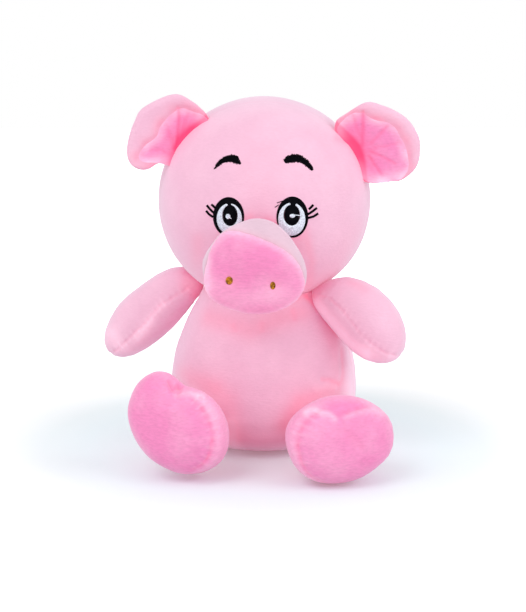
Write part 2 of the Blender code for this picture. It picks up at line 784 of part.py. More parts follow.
def make_brow(side, sign, head_joint):
    """An arched brow: a pointed tail on the outside and a blunt end over the nose."""
    rows = []
    for position, thickness_share in BROW_SHARES:
        row = []
        for edge_share in (-0.5, 0.0, 0.5):
            place = Vector((
                -BROW_HALF_LENGTH * position,
                -BROW_ARCH * position ** 2 + BROW_ARCH / 2 + BROW_THICKNESS * thickness_share * edge_share,
            ))
            place.rotate(Matrix.Rotation(BROW_TILT, 2))
            row.append((sign * (BROW_SPREAD + place.x), BROW_RISE + place.y))
        rows.append(row)
    stitched("eyebrow_" + side, rows, THREAD_BLACK, head_joint)


def ear_ring(scale, depth, lean_share):
    """The ear's outline drawn in towards its middle, at a depth, with the crease edge at X = -root."""
    root = EAR_ROOT_SHARE * EAR_REACH + EAR_RIM_RADIUS
    ring = []
    for across_share, out_share in EAR_OUTLINE_SHARES:
        leaned = across_share + lean_share * out_share
        out = EAR_CENTRE_SHARE + (out_share - EAR_CENTRE_SHARE) * scale
        middle = lean_share * EAR_CENTRE_SHARE
        across = middle + (leaned - middle) * scale
        ring.append(Vector((out * EAR_REACH - root, across * EAR_HALF_WIDTH, depth)))
    return ring


def ear_pole(depth, lean_share):
    root = EAR_ROOT_SHARE * EAR_REACH + EAR_RIM_RADIUS
    return Vector((
        EAR_CENTRE_SHARE * EAR_REACH - root, lean_share * EAR_CENTRE_SHARE * EAR_HALF_WIDTH, depth,
    ))


def make_ear(side, settings, head_joint):
    sign = settings["sign"]
    lean = settings["ear_lean_share"]
    rise = math.sqrt(HEAD_RADIUS ** 2 - HEAD_SEAM_FORWARD ** 2)
    out = Vector((
        sign * rise * math.sin(settings["ear_angle"]), -HEAD_SEAM_FORWARD,
        rise * math.cos(settings["ear_angle"]),
    )).normalized()
    down = Vector((sign * math.cos(settings["ear_angle"]), 0.0, -math.sin(settings["ear_angle"])))
    crease = down * sign
    origin = head_centre() + out * (HEAD_RADIUS + JOINT_GAP + EAR_RIM_RADIUS)
    joint = joint_frame("ear_" + side + "_joint", origin, out, crease)
    for name, table, poles, finish in (
        ("ear_outer_" + side, EAR_SHELL_SHARES, EAR_SHELL_POLE_SHARES, PALE_PINK),
        ("ear_lining_" + side, EAR_LINING_SHARES, EAR_LINING_POLE_SHARES, DEEP_PINK),
    ):
        rings = []
        for scale, depth_share in table:
            ring = ear_ring(scale, -depth_share * EAR_RIM_RADIUS, lean)
            rings.append([Vector((point.x, point.y * sign, point.z)) for point in ring])
        tips = []
        for depth_share in poles:
            tip = ear_pole(-depth_share * EAR_RIM_RADIUS, lean)
            tips.append(Vector((tip.x, tip.y * sign, tip.z)))
        mesh = stack_mesh(name, rings, tips[0], tips[1])
        add_object(name, mesh, plush(name, finish), joint)
    joint.parent = head_joint
    joint.matrix_parent_inverse = head_joint.matrix_world.inverted()


# Arms

def arm_ring(row, inset, angles, seam=0.0):
    """A ring across an arm, at angles counted round its length from its front edge over the top."""
    position, upper_share, lower_share, depth_share = row
    depth = ARM_HALF_DEPTH * depth_share - inset
    ring = []
    for angle in angles:
        breadth_share = upper_share if angle <= math.pi else lower_share
        breadth = max(ARM_HALF_BREADTH * breadth_share - inset, seam)
        height = breadth * abs(math.sin(angle))
        side = 1.0 if angle <= math.pi else -1.0
        ring.append(Vector((
            (ARM_LENGTH - inset) * position, depth * math.cos(angle), side * max(height, seam),
        )))
    return ring


def arm_panel_mesh(name, half):
    """The upper (+1) or lower (-1) panel of an arm, hemmed at the root and closed at the tip."""
    first = 0 if half > 0.0 else ARM_SIDES // 2
    angles = [math.tau * (first + index) / ARM_SIDES for index in range(ARM_SIDES // 2 + 1)]
    if half < 0.0:
        angles[0] += ANGLE_TRIFLE
    seam = SEAM_GAP / 2
    grids = []
    for inset in (0.0, FABRIC):
        rows = [arm_ring(row, inset, angles, seam) for row in ARM_FORM_SHARES]
        hem = [
            [
                Vector((
                    (inset - ARM_ROOT_RADIUS) * reach_share, point.y * width_share,
                    half * max(abs(point.z) * height_share, seam),
                ))
                for point in rows[0]
            ]
            for reach_share, width_share, height_share in ARM_HEM_SHARES
        ]
        tip = [Vector((ARM_LENGTH - inset, 0.0, half * seam))] * len(angles)
        grids.append(hem + rows + [tip])
    return sheet_mesh(name, grids[0], grids[1])


def make_arm(side, settings):
    azimuth = settings["arm_azimuth"]
    level = collar_height()
    point, normal = body_surface(azimuth * settings["sign"], level)
    heading = settings["arm_heading"]
    ahead = Vector((math.sin(heading) * settings["sign"], -math.cos(heading), 0.0))
    origin = point + normal * ARM_ROOT_STANDOFF - Vector((0.0, 0.0, ARM_ROOT_DROP))
    droop = settings["arm_droop"]
    along = ahead * math.cos(droop) - Vector((0.0, 0.0, math.sin(droop)))
    hinge = ahead.cross(Vector((0.0, 0.0, -1.0)))
    joint = joint_frame("arm_" + side + "_joint", origin, along, hinge)
    for part, half in (("upper", 1.0), ("lower", -1.0)):
        name = "arm_" + part + "_panel_" + side
        add_object(name, arm_panel_mesh(name, half), plush(name), joint)
    name = "arm_stuffing_" + side
    inset = FABRIC + SKIN_GAP
    angles = [math.tau * index / ARM_SIDES for index in range(ARM_SIDES)]
    stations = [row for row in ARM_FORM_SHARES if row[0] * ARM_LENGTH > ARM_STUFFING_SETBACK]
    rings = [arm_ring(row, inset, angles) for row in stations]
    mesh = stack_mesh(name, rings, end_pole=Vector((ARM_LENGTH - inset, 0.0, 0.0)))
    add_object(name, mesh, fibre(name), joint)


# Legs and feet

def foot_radius(angle, toe_side):
    """Distance from the middle of the foot to its outline. Angle 0 is the toe."""
    long_part = math.cos(angle) / FOOT_HALF_LENGTH
    narrowing = 1.0 - FOOT_TAPER_SHARE * math.cos(angle)
    wide_part = math.sin(angle) / (FOOT_HALF_WIDTH * narrowing)
    radius = 1.0 / math.hypot(long_part, wide_part)
    off = math.remainder(angle - toe_side * FOOT_NOTCH_ANGLE, math.tau)
    return radius * (1.0 - FOOT_NOTCH_SHARE * math.exp(-(off / FOOT_NOTCH_SPREAD) ** 2))


def leg_ring(position, inset, settings, extra=0.0):
    """A ring of the leg at a share of its reach. It turns from the flat root into the foot's outline."""
    reach = settings["leg_reach"]
    sign = settings["sign"]
    roll = settings["foot_roll"]
    blend, scale = share_at(LEG_FORM_SHARES + ((1.0, 1.0, 0.0),), position)
    along = inset - LEG_ROOT_RADIUS + (reach + LEG_ROOT_RADIUS - 2 * inset) * position + extra
    angles = [math.tau * index / LEG_SIDES for index in range(LEG_SIDES)]
    toe_angle = math.pi / 2 - sign * roll
    outline = [foot_radius(angle - toe_angle, sign) for angle in angles]
    sink = min(radius * math.sin(angle) for radius, angle in zip(outline, angles))
    foot_level = FLOOR_GAP - sink - LEG_HEIGHT
    ring = []
    for angle, foot in zip(angles, outline):
        root = 1.0 / math.hypot(math.cos(angle) / LEG_ROOT_HALF_WIDTH, math.sin(angle) / LEG_ROOT_RADIUS)
        radius = (root + (foot - root) * blend) * scale
        radius = max(radius - inset * min(1.0, 2.0 * scale), HEM)
        ring.append(Vector((along, radius * math.cos(angle), radius * math.sin(angle) + foot_level * blend)))
    return ring


def leg_pole(position, inset, settings):
    ring = leg_ring(position, inset, settings)
    middle = sum(ring, Vector()) / len(ring)
    return middle


def leg_stations(first, last):
    inside = [row[0] for row in LEG_FORM_SHARES if first < row[0] < last]
    return [first] + inside + [last]


def make_leg(side, settings):
    sign = settings["sign"]
    point, normal = body_surface(settings["hip_azimuth"] * sign, LEG_HEIGHT)
    azimuth = settings["leg_azimuth"] * sign
    ahead = Vector((math.sin(azimuth), -math.cos(azimuth), 0.0))
    skew = LEG_ROOT_HALF_WIDTH * math.sqrt(1.0 - normal.dot(ahead) ** 2)
    belly_fall = LEG_ROOT_HALF_WIDTH ** 2 / (2 * BELLY_HALF_DEPTH)
    origin = point + normal * (LEG_ROOT_RADIUS + LEG_ROOT_STANDOFF + skew - belly_fall)
    hinge = ahead.cross(Vector((0.0, 0.0, -1.0)))
    joint = joint_frame("leg_" + side + "_joint", origin, ahead, hinge)

    half_gap = SEAM_GAP / (2 * settings["leg_reach"])
    end = LEG_FORM_SHARES[-1][0]
    name = "leg_cover_" + side
    stations = leg_stations(0.0, ANKLE_SHARE - half_gap)
    outer = [leg_ring(share, 0.0, settings) for share in stations]
    inner = [leg_ring(share, FABRIC, settings) for share in stations]
    poles = [leg_pole(0.0, inset, settings) for inset in (0.0, FABRIC)]
    mesh = shell_mesh(name, outer, inner, start_poles=poles)
    add_object(name, mesh, plush(name), joint)

    name = "foot_upper_" + side
    stations = leg_stations(ANKLE_SHARE + half_gap, SOLE_SHARE - half_gap)
    outer = [leg_ring(share, 0.0, settings) for share in stations]
    inner = [leg_ring(share, FABRIC, settings) for share in stations]
    add_object(name, shell_mesh(name, outer, inner), plush(name, DEEP_PINK), joint)

    name = "foot_sole_" + side
    stations = leg_stations(SOLE_SHARE + half_gap, end)
    outer = [leg_ring(share, 0.0, settings) for share in stations]
    inner = [leg_ring(share, FABRIC, settings) for share in stations]
    poles = [leg_pole(1.0, inset, settings) for inset in (0.0, FABRIC)]
    mesh = shell_mesh(name, outer, inner, end_poles=poles)
    add_object(name, mesh, plush(name, DEEP_PINK), joint)

    name = "leg_stuffing_" + side
    inset = FABRIC + SKIN_GAP
    first = LEG_STUFFING_SETBACK / settings["leg_reach"]
    rings = [leg_ring(share, inset, settings) for share in leg_stations(first, end)]
    mesh = stack_mesh(name, rings, end_pole=leg_pole(1.0, inset, settings))
    add_object(name, mesh, fibre(name), joint)


def main():
    clear_scene()
    make_body()
    make_tail()
    head_joint = joint_frame("head_joint", head_centre(), (0.0, -1.0, 0.0), (0.0, 0.0, 1.0))
    bpy.context.view_layer.update()
    make_head(head_joint)
    make_snout(head_joint)
    for side, settings in SIDES.items():
        sign = settings["sign"]
        make_eye(side, sign, head_joint)
        make_lashes(side, sign, head_joint)
        make_brow(side, sign, head_joint)
        make_ear(side, settings, head_joint)
        make_arm(side, settings)
        make_leg(side, settings)


main()
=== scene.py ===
"""The looks of a sitting plush pig: padded velboa covers, satin stitch, a white studio floor.

Every size is in metres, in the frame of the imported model: the toy faces -Y, +Z is up, and the
origin is the middle of its seat. The toy's own left side is +X.
"""

import json
import math

import bpy
import numpy as np
from mathutils import Matrix, Vector
from mathutils.bvhtree import BVHTree


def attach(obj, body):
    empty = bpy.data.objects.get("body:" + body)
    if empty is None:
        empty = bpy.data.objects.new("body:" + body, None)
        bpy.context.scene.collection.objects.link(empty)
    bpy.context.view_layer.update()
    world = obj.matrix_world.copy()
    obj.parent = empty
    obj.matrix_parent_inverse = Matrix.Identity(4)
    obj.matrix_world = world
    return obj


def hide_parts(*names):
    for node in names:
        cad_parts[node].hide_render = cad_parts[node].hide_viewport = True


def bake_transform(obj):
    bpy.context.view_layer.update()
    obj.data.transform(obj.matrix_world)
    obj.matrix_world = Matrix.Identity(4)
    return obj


bl_info = {
    "name": "Plush Pig Looks",
    "version": (1, 0, 0),
    "blender": (4, 5, 0),
    "location": "3D View > Sidebar > Plush Pig",
    "description": "Dresses the frame of a jointed plush pig in padded velboa and embroidery",
    "category": "Object",
}

MM = 0.001
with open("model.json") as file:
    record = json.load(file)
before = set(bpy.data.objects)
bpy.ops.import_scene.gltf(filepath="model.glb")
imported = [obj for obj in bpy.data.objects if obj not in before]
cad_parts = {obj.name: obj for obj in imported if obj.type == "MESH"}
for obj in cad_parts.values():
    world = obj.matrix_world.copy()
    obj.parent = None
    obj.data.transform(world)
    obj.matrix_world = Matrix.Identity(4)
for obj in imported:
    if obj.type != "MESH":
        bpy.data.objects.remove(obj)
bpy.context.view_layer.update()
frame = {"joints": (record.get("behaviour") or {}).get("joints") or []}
JOINTS = {joint["name"]: joint for joint in frame["joints"]}

HEAD_CENTRE = Vector(JOINTS["head_turn"]["pos_m"])
HEAD_RADIUS = 51.2 * MM

# The camera of the photograph: places in its picture are in pixels, from its top left corner
PHOTO_WIDTH = 526
PHOTO_HEIGHT = 612
PIXELS_PER_MM = 2.0
LENS = 85.0
SENSOR = 36.0
FOCAL = LENS / SENSOR * PHOTO_HEIGHT
CAMERA_DISTANCE = FOCAL / PIXELS_PER_MM * MM
CAMERA_RISE = math.radians(10.0)
CAMERA_TARGET = Vector((-0.5 * MM, 0.0, 70.0 * MM))
TO_CAMERA = Vector((0.0, -math.cos(CAMERA_RISE), math.sin(CAMERA_RISE)))
UPWARDS = Vector((0.0, math.sin(CAMERA_RISE), math.cos(CAMERA_RISE)))
CAMERA_PLACE = CAMERA_TARGET + TO_CAMERA * CAMERA_DISTANCE


# Selection and mesh helpers

def only(item):
    """Leaves one object selected and active."""
    bpy.ops.object.select_all(action="DESELECT")
    item.select_set(True)
    bpy.context.view_layer.objects.active = item


def named(name):
    """The new active object, under its own name and alone in the selection."""
    made = bpy.context.object
    made.name = name
    made.data.name = name
    only(made)
    return made


def places(item):
    """An array of the places of an object's vertices."""
    co = np.empty(len(item.data.vertices) * 3)
    item.data.vertices.foreach_get("co", co)
    return co.reshape(-1, 3)


def normals(item):
    """An array of the normals of an object's vertices."""
    found = np.empty(len(item.data.vertices) * 3)
    item.data.vertex_normals.foreach_get("vector", found)
    return found.reshape(-1, 3)


def put(item, co):
    """Writes the places of an object's vertices."""
    item.data.vertices.foreach_set("co", np.ascontiguousarray(co, dtype=np.float32).ravel())
    item.data.update()


def write_attribute(item, name, values):
    """Writes one number a vertex, for the materials to read."""
    found = item.data.attributes.get(name)
    if found is None:
        found = item.data.attributes.new(name, "FLOAT", "POINT")
    found.data.foreach_set("value", np.clip(values, 0.0, 1.0).astype(np.float32))


def read_attribute(item, name):
    found = item.data.attributes.get(name)
    values = np.zeros(len(item.data.vertices), dtype=np.float32)
    if found is not None:
        found.data.foreach_get("value", values)
    return values


def apply_modifier(item, kind, **settings):
    """Adds a modifier, sets it and applies it."""
    only(item)
    modifier = item.modifiers.new(kind.title(), kind)
    for key, value in settings.items():
        setattr(modifier, key, value)
    bpy.ops.object.modifier_apply(modifier=modifier.name)


def subdivide_surface(item, levels):
    apply_modifier(item, "SUBSURF", levels=levels, render_levels=levels)


def smooth_shading(item):
    only(item)
    bpy.ops.object.shade_smooth()


def settle(item, turn):
    """Turns and moves a piece that was modelled at the origin to its place, and keeps it in its mesh."""
    only(item)
    item.matrix_world = turn
    bpy.ops.object.transform_apply(location=True, rotation=True, scale=True)


def ball(name, half_sizes, centre, cuts):
    """A ball of even squares: a cube that is subdivided, rounded and stretched to its half sizes."""
    bpy.ops.object.select_all(action="DESELECT")
    bpy.ops.mesh.primitive_cube_add(size=2.0, location=(0.0, 0.0, 0.0))
    made = named(name)
    bpy.ops.object.mode_set(mode="EDIT")
    bpy.ops.mesh.select_all(action="SELECT")
    bpy.ops.mesh.subdivide(number_cuts=cuts)
    bpy.ops.transform.tosphere(value=1.0)
    bpy.ops.object.mode_set(mode="OBJECT")
    co = places(made)
    co /= np.linalg.norm(co, axis=1, keepdims=True)
    put(made, co * np.array(half_sizes) + np.array(centre))
    return made


def loft(name, stations, sides):
    """A closed form along Z. A disc is added at the first station, then extruded, sized and moved.

    A station is (z, half size along X, half size along Y, centre X, centre Y).
    """
    z, half_x, half_y, mid_x, mid_y = stations[0]
    bpy.ops.object.select_all(action="DESELECT")
    bpy.ops.mesh.primitive_circle_add(
        vertices=sides, radius=1.0, fill_type="NGON", location=(0.0, 0.0, 0.0),
    )
    made = named(name)
    bpy.ops.object.mode_set(mode="EDIT")
    bpy.ops.mesh.select_all(action="SELECT")
    bpy.ops.transform.resize(value=(half_x, half_y, 1.0), center_override=(0.0, 0.0, 0.0))
    bpy.ops.transform.translate(value=(mid_x, mid_y, z))
    last = stations[0]
    for station in stations[1:]:
        step = (station[3] - last[3], station[4] - last[4], station[0] - last[0])
        bpy.ops.mesh.extrude_region_move(TRANSFORM_OT_translate={"value": step})
        bpy.ops.transform.resize(
            value=(station[1] / last[1], station[2] / last[2], 1.0),
            center_override=(station[3], station[4], station[0]),
        )
        last = station
    bpy.ops.mesh.select_all(action="SELECT")
    bpy.ops.mesh.normals_make_consistent(inside=False)
    bpy.ops.object.mode_set(mode="OBJECT")
    return made


def even_squares(item, voxel, rounds):
    """Remeshes a closed form into even squares, and relaxes them."""
    only(item)
    item.data.remesh_voxel_size = voxel
    item.data.remesh_voxel_adaptivity = 0.0
    bpy.ops.object.voxel_remesh()
    apply_modifier(item, "SMOOTH", factor=0.5, iterations=rounds)


def fade(distance, width):
    """1 at no distance, falling smoothly to nothing a few widths away."""
    return np.exp(-(distance / width) ** 2)


def ramp(values, start, end):
    share = np.clip((values - start) / (end - start), 0.0, 1.0)
    return share * share * (3.0 - 2.0 * share)


def wander(co, wavelength, seed):
    """A smooth number from -1 to 1 that wanders over the surface, the same each run."""
    draw = np.random.default_rng(seed)
    total = np.zeros(len(co))
    for _ in range(7):
        direction = draw.normal(size=3)
        direction /= np.linalg.norm(direction)
        phase = draw.uniform(0.0, math.tau)
        pitch = wavelength * draw.uniform(0.7, 1.5)
        total += np.sin(co @ direction * (math.tau / pitch) + phase)
    return total / 4.0


def push(item, amount):
    """Moves each vertex along its normal by its own amount."""
    put(item, places(item) + normals(item) * np.asarray(amount)[:, None])


def line_distance(flat, line):
    """How far flat places lie from a line through points, and how far along it they lie, 0 to 1."""
    line = np.asarray(line, dtype=float)
    steps = line[1:] - line[:-1]
    lengths = np.linalg.norm(steps, axis=1)
    begun = np.concatenate([[0.0], np.cumsum(lengths)])
    nearest = np.full(len(flat), np.inf)
    along = np.zeros(len(flat))
    for index, step in enumerate(steps):
        share = np.clip((flat - line[index]) @ step / lengths[index] ** 2, 0.0, 1.0)
        gap = np.linalg.norm(flat - line[index] - share[:, None] * step, axis=1)
        nearer = gap < nearest
        nearest = np.where(nearer, gap, nearest)
        along = np.where(nearer, (begun[index] + share * lengths[index]) / begun[-1], along)
    return nearest, along


def depth_inside(flat, ring):
    """How deep flat places lie inside a closed outline, below zero outside it."""
    closed = np.vstack([ring, ring[:1]])
    gap = line_distance(flat, closed)[0]
    within = np.zeros(len(flat), dtype=bool)
    for first, second in zip(closed[:-1], closed[1:]):
        if first[1] == second[1]:
            continue
        spans = (first[1] > flat[:, 1]) != (second[1] > flat[:, 1])
        meets = first[0] + (flat[:, 1] - first[1]) * (second[0] - first[0]) / (second[1] - first[1])
        within ^= spans & (flat[:, 0] < meets)
    return np.where(within, gap, -gap)


def in_photo(co):
    """Where places show in the photograph, in its pixels."""
    offset = co - np.array(CAMERA_PLACE)
    depth = -offset @ np.array(TO_CAMERA)
    across = offset[:, 0] / depth * FOCAL
    rise = offset @ np.array(UPWARDS) / depth * FOCAL
    return np.stack([PHOTO_WIDTH / 2 + across, PHOTO_HEIGHT / 2 - rise], axis=1)


def sculpt(item, folds, tapered=True):
    """Presses folds into the front of a piece, raises ridges on it, or only paints shade and highlight on it.

    A fold is (its line in the photograph's pixels, width mm, depth mm, red of its painted shade, paleness of
    its painted highlight).
    """
    out = normals(item)
    seen = in_photo(places(item))
    facing = ramp(out @ np.array(TO_CAMERA), 0.0, 0.35)
    rise = np.zeros(len(out))
    crease = read_attribute(item, "crease")
    pale = read_attribute(item, "pale")
    for line, width, depth, redness, paleness in folds:
        gap, along = line_distance(seen, line)
        mark = fade(gap / PIXELS_PER_MM, width) * facing
        if tapered:
            mark *= ramp(np.minimum(along, 1.0 - along), 0.0, 0.15)
        rise -= depth * MM * mark
        crease += redness * mark
        pale += paleness * mark
    push(item, rise)
    write_attribute(item, "crease", crease)
    write_attribute(item, "pale", pale)


def even_line(points, count, endpoint=True):
    """Even points along a line."""
    points = np.array(points)
    lengths = np.concatenate([[0.0], np.cumsum(np.linalg.norm(np.diff(points, axis=0), axis=1))])
    even = np.linspace(0.0, lengths[-1], count, endpoint=endpoint)
    return np.stack([np.interp(even, lengths, points[:, axis]) for axis in (0, 1)], axis=1)


def smooth_outline(points, count):
    """Even points round a closed outline that is rounded at its corner points."""
    closed = np.array(points) * MM
    closed = np.vstack([closed, closed[:1]])
    for _ in range(3):
        first = closed[:-1] * 0.75 + closed[1:] * 0.25
        second = closed[:-1] * 0.25 + closed[1:] * 0.75
        cut = np.empty((len(first) * 2, 2))
        cut[0::2] = first
        cut[1::2] = second
        closed = np.vstack([cut, cut[:1]])
    return even_line(closed, count, endpoint=False)


def bearing(outline, middle, angle):
    """Distance from the middle of an outline to its edge at an angle."""
    reach = outline - middle
    around = np.arctan2(reach[:, 1], reach[:, 0])
    order = np.argsort(around)
    radius = np.hypot(reach[:, 0], reach[:, 1])[order]
    turns = np.concatenate([around[order] - math.tau, around[order], around[order] + math.tau])
    return np.interp(angle, turns, np.tile(radius, 3))


def outline_share(flat, outline, middle):
    """How far out flat places lie, as a share of the way to an outline's edge, and at what angle."""
    reach = flat - middle
    angle = np.arctan2(reach[:, 1], reach[:, 0])
    return np.hypot(reach[:, 0], reach[:, 1]) / bearing(outline, middle, angle), angle


def outlined(name, outline, middle, table, sides):
    """A closed form along Z whose sections are the outline, each drawn in to its share: (z, share)."""
    made = loft(name, [(z, share, share, 0.0, 0.0) for z, share in table], sides)
    co = places(made)
    angle = np.arctan2(co[:, 1], co[:, 0])
    reach = np.hypot(co[:, 0], co[:, 1]) * bearing(outline, middle, angle)
    co[:, 0] = middle[0] + np.cos(angle) * reach
    co[:, 1] = middle[1] + np.sin(angle) * reach
    put(made, co)
    return made


def face_outwards(item):
    only(item)
    bpy.ops.object.mode_set(mode="EDIT")
    bpy.ops.mesh.select_all(action="SELECT")
    bpy.ops.mesh.normals_make_consistent(inside=False)
    bpy.ops.object.mode_set(mode="OBJECT")


# Colours and sizes that a user would change

def colour_property(name, description, default):
    return bpy.props.FloatVectorProperty(
        name=name, description=description, default=default, size=3, min=0.0, max=1.0, subtype="COLOR",
    )


def length_property(name, description, default):
    return bpy.props.FloatProperty(
        name=name, description=description, default=default, min=0.0, unit="LENGTH",
    )


class PLUSHPIG_PG_colours(bpy.types.PropertyGroup):
    pale_pink: colour_property("Pale pink", "Velboa of the head, body and arms", (0.70, 0.49, 0.62))
    deep_pink: colour_property("Deep pink", "Velboa of the feet, snout face and ear linings",
                               (0.74, 0.27, 0.505))
    gusset_pink: colour_property("Gusset pink", "Velboa of the ring round the snout", (0.57, 0.50, 0.58))
    # Painted glow: an even red emission over the pile, that keeps its shaded parts salmon.
    painted_glow: colour_property("Painted glow", "Light that comes back out of the pile", (0.17, 0.012, 0.035))
    # Painted shade and glow: red in creases, seams, dents, joints and hollows.
    painted_crease_red: colour_property("Crease red", "Where light goes through the pile in a crease",
                                (0.93, 0.06, 0.16))
    # Painted highlight on lit ridges, rims and puckers; also the pale fringe where deep pink meets pale, and
    # the random pale patches.
    highlight_and_pale_pink: colour_property("Highlight and pale pink", "Pile tips brushed up towards the light", (0.93, 0.72, 0.84))
    # Painted rim sheen, with a faint glow, where the pile is seen along the surface.
    rim_sheen_lilac: colour_property("Rim sheen lilac", "Pile seen along the surface", (0.66, 0.59, 0.69))
    black_thread: colour_property("Black thread", "Eyes, lashes and brows", (0.003, 0.003, 0.005))
    white_thread: colour_property("White thread", "Whites and highlights of the eyes", (0.80, 0.87, 0.97))
    gold_thread: colour_property("Gold thread", "Nostrils", (0.58, 0.24, 0.02))


class PLUSHPIG_PG_sizes(bpy.types.PropertyGroup):
    head_half_width: length_property("Head half width", "From the middle to an ear", 52.0 * MM)
    head_half_height: length_property("Head half height", "From the middle to the crown", 50.4 * MM)
    belly_half_width: length_property("Belly half width", "At its widest", 46.0 * MM)
    belly_half_depth: length_property("Belly half depth", "At its deepest", 41.2 * MM)
    body_height: length_property("Body height", "From the seat to the top of the collar", 86.0 * MM)
    seam_width: length_property("Seam width", "Width of a sewn groove", 0.9 * MM)
    seam_depth: length_property("Seam depth", "Depth of a sewn groove", 0.55 * MM)
    pile: length_property("Pile", "Height of the pile that the bump shows", 0.25 * MM)
    thread: length_property("Thread", "Thickness of an embroidery thread", 0.42 * MM)


def colours():
    return bpy.context.scene.plushpig_colours


def sizes():
    return bpy.context.scene.plushpig_sizes


# Node groups and materials

PILE_INPUTS = (
    ("Place", "NodeSocketVector", None),
    ("Pile", "NodeSocketColor", (0.9, 0.5, 0.7, 1.0)),
    ("Crease colour", "NodeSocketColor", (0.9, 0.1, 0.2, 1.0)),
    ("Highlight and pale colour", "NodeSocketColor", (1.0, 0.8, 0.9, 1.0)),
    ("Painted glow", "NodeSocketColor", (0.1, 0.0, 0.0, 1.0)),
    ("Crease", "NodeSocketFloat", 0.0),
    ("Pale", "NodeSocketFloat", 0.0),
    ("Streaks", "NodeSocketFloat", 0.5),
)
PILE_OUTPUTS = (
    ("Colour", "NodeSocketColor"), ("Glow", "NodeSocketColor"), ("Height", "NodeSocketFloat"),
    ("Roughness", "NodeSocketFloat"),
)
BRUSHED_STRETCH = (0.5, 0.5, 1.4)
BRUSHED_SCALE = 880.0
FIBRE_SCALE = 2400.0
PATCH_SCALE = 60.0
PATCH_PALENESS = 0.22
GRAIN_SHADES = (0.91, 1.07)
# Painted light of the pile: creases darken to red and glow, and pale places and the rim glow a little.
CREASE_FALLOFF = 2.2
PAINTED_CREASE_GLOW = 0.36
PAINTED_PALE_GLOW = 0.13
RIM_SHEEN_GLOW = 0.11
SHEEN_TINT = (0.88, 0.86, 0.90)
TWIST_DEPTH = 0.08 * MM


def opaque(colour):
    return (*colour, 1.0)


def feed(tree, fed, inputs):
    """Gives a node's inputs their values, or links them to the outputs that feed them."""
    for key, value in inputs.items():
        if isinstance(value, bpy.types.NodeSocket):
            tree.links.new(value, fed.inputs[key])
        else:
            fed.inputs[key].default_value = value


def node(tree, kind, place, inputs=None, **settings):
    made = tree.nodes.new(kind)
    made.location = place
    for key, value in settings.items():
        setattr(made, key, value)
    feed(tree, made, inputs or {})
    return made


def maths(tree, operation, place, *values, **settings):
    return node(tree, "ShaderNodeMath", place, dict(enumerate(values)), operation=operation,
                **settings).outputs[0]


def noise(tree, vector, place, scale, detail):
    return node(tree, "ShaderNodeTexNoise", place, {
        "Vector": vector, "Scale": scale, "Detail": detail,
    }).outputs["Fac"]


def map_range(tree, value, place, before, after):
    return node(tree, "ShaderNodeMapRange", place, {
        "Value": value, "From Min": before[0], "From Max": before[1], "To Min": after[0], "To Max": after[1],
    }).outputs["Result"]


def mix_colour(tree, factor, first, second, place, blend_type="MIX"):
    return node(tree, "ShaderNodeMix", place, {"Factor": factor, "A": first, "B": second},
                data_type="RGBA", blend_type=blend_type).outputs["Result"]


def pile_group():
    """A short pile, brushed level: its colour with painted shade and painted highlight, its painted glow, its
    height and its roughness.
    """
    name = "brushed pile"
    found = bpy.data.node_groups.get(name)
    if found:
        return found
    tree = bpy.data.node_groups.new(name, "ShaderNodeTree")
    for label, kind, value in PILE_INPUTS:
        socket = tree.interface.new_socket(name=label, in_out="INPUT", socket_type=kind)
        if value is not None:
            socket.default_value = value
    for label, kind in PILE_OUTPUTS:
        tree.interface.new_socket(name=label, in_out="OUTPUT", socket_type=kind)
    given = node(tree, "NodeGroupInput", (-1200, 0)).outputs

    level = node(tree, "ShaderNodeMapping", (-980, 120), {
        "Vector": given["Place"], "Scale": BRUSHED_STRETCH,
    }).outputs["Vector"]
    brushed = noise(tree, level, (-760, 120), BRUSHED_SCALE, 2.0)
    fibres = noise(tree, level, (-760, -160), FIBRE_SCALE, 1.0)
    patches = noise(tree, given["Place"], (-760, 340), PATCH_SCALE, 3.0)

    patchy = map_range(tree, patches, (-540, 340), (0.42, 0.75), (0.0, PATCH_PALENESS))
    # The pale attribute (painted highlight and the pale fringes) and the random pale patches take the pile
    # towards the highlight colour.
    lifted = maths(tree, "ADD", (-340, 320), patchy, given["Pale"], use_clamp=True)
    tipped = mix_colour(tree, lifted, given["Pile"], given["Highlight and pale colour"], (-120, 260))
    grain = map_range(tree, brushed, (-540, 100), (0.25, 0.75), GRAIN_SHADES)
    streaked = mix_colour(tree, given["Streaks"], tipped, grain, (100, 220), "MULTIPLY")
    # Painted shade: the crease attribute takes the pile to the crease red.
    creased = mix_colour(tree, given["Crease"], streaked, given["Crease colour"], (320, 180))

    # Painted glow: the even glow, going to the crease red and growing in deep creases, plus a little of the
    # highlight colour on pale places.
    deep = maths(tree, "POWER", (-120, 20), given["Crease"], CREASE_FALLOFF)
    strength = map_range(tree, deep, (100, 20), (0.0, 1.0), (0.0, PAINTED_CREASE_GLOW))
    glow = mix_colour(tree, strength, given["Painted glow"], given["Crease colour"], (320, 0))
    tips = map_range(tree, given["Pale"], (320, -180), (0.0, 1.0), (0.0, PAINTED_PALE_GLOW))
    node(tree, "NodeGroupOutput", (900, 0), {
        "Colour": creased,
        "Glow": mix_colour(tree, tips, glow, given["Highlight and pale colour"], (560, 0), "ADD"),
        "Height": maths(tree, "MULTIPLY_ADD", (100, -160), fibres, 0.5, brushed),
        "Roughness": map_range(tree, patches, (100, -340), (0.3, 0.7), (0.9, 1.0)),
    })
    return tree


def empty_material(name):
    """A new material, its node tree and its shader."""
    made = bpy.data.materials.new(name)
    made.use_nodes = True
    return made, made.node_tree, made.node_tree.nodes["Principled BSDF"]


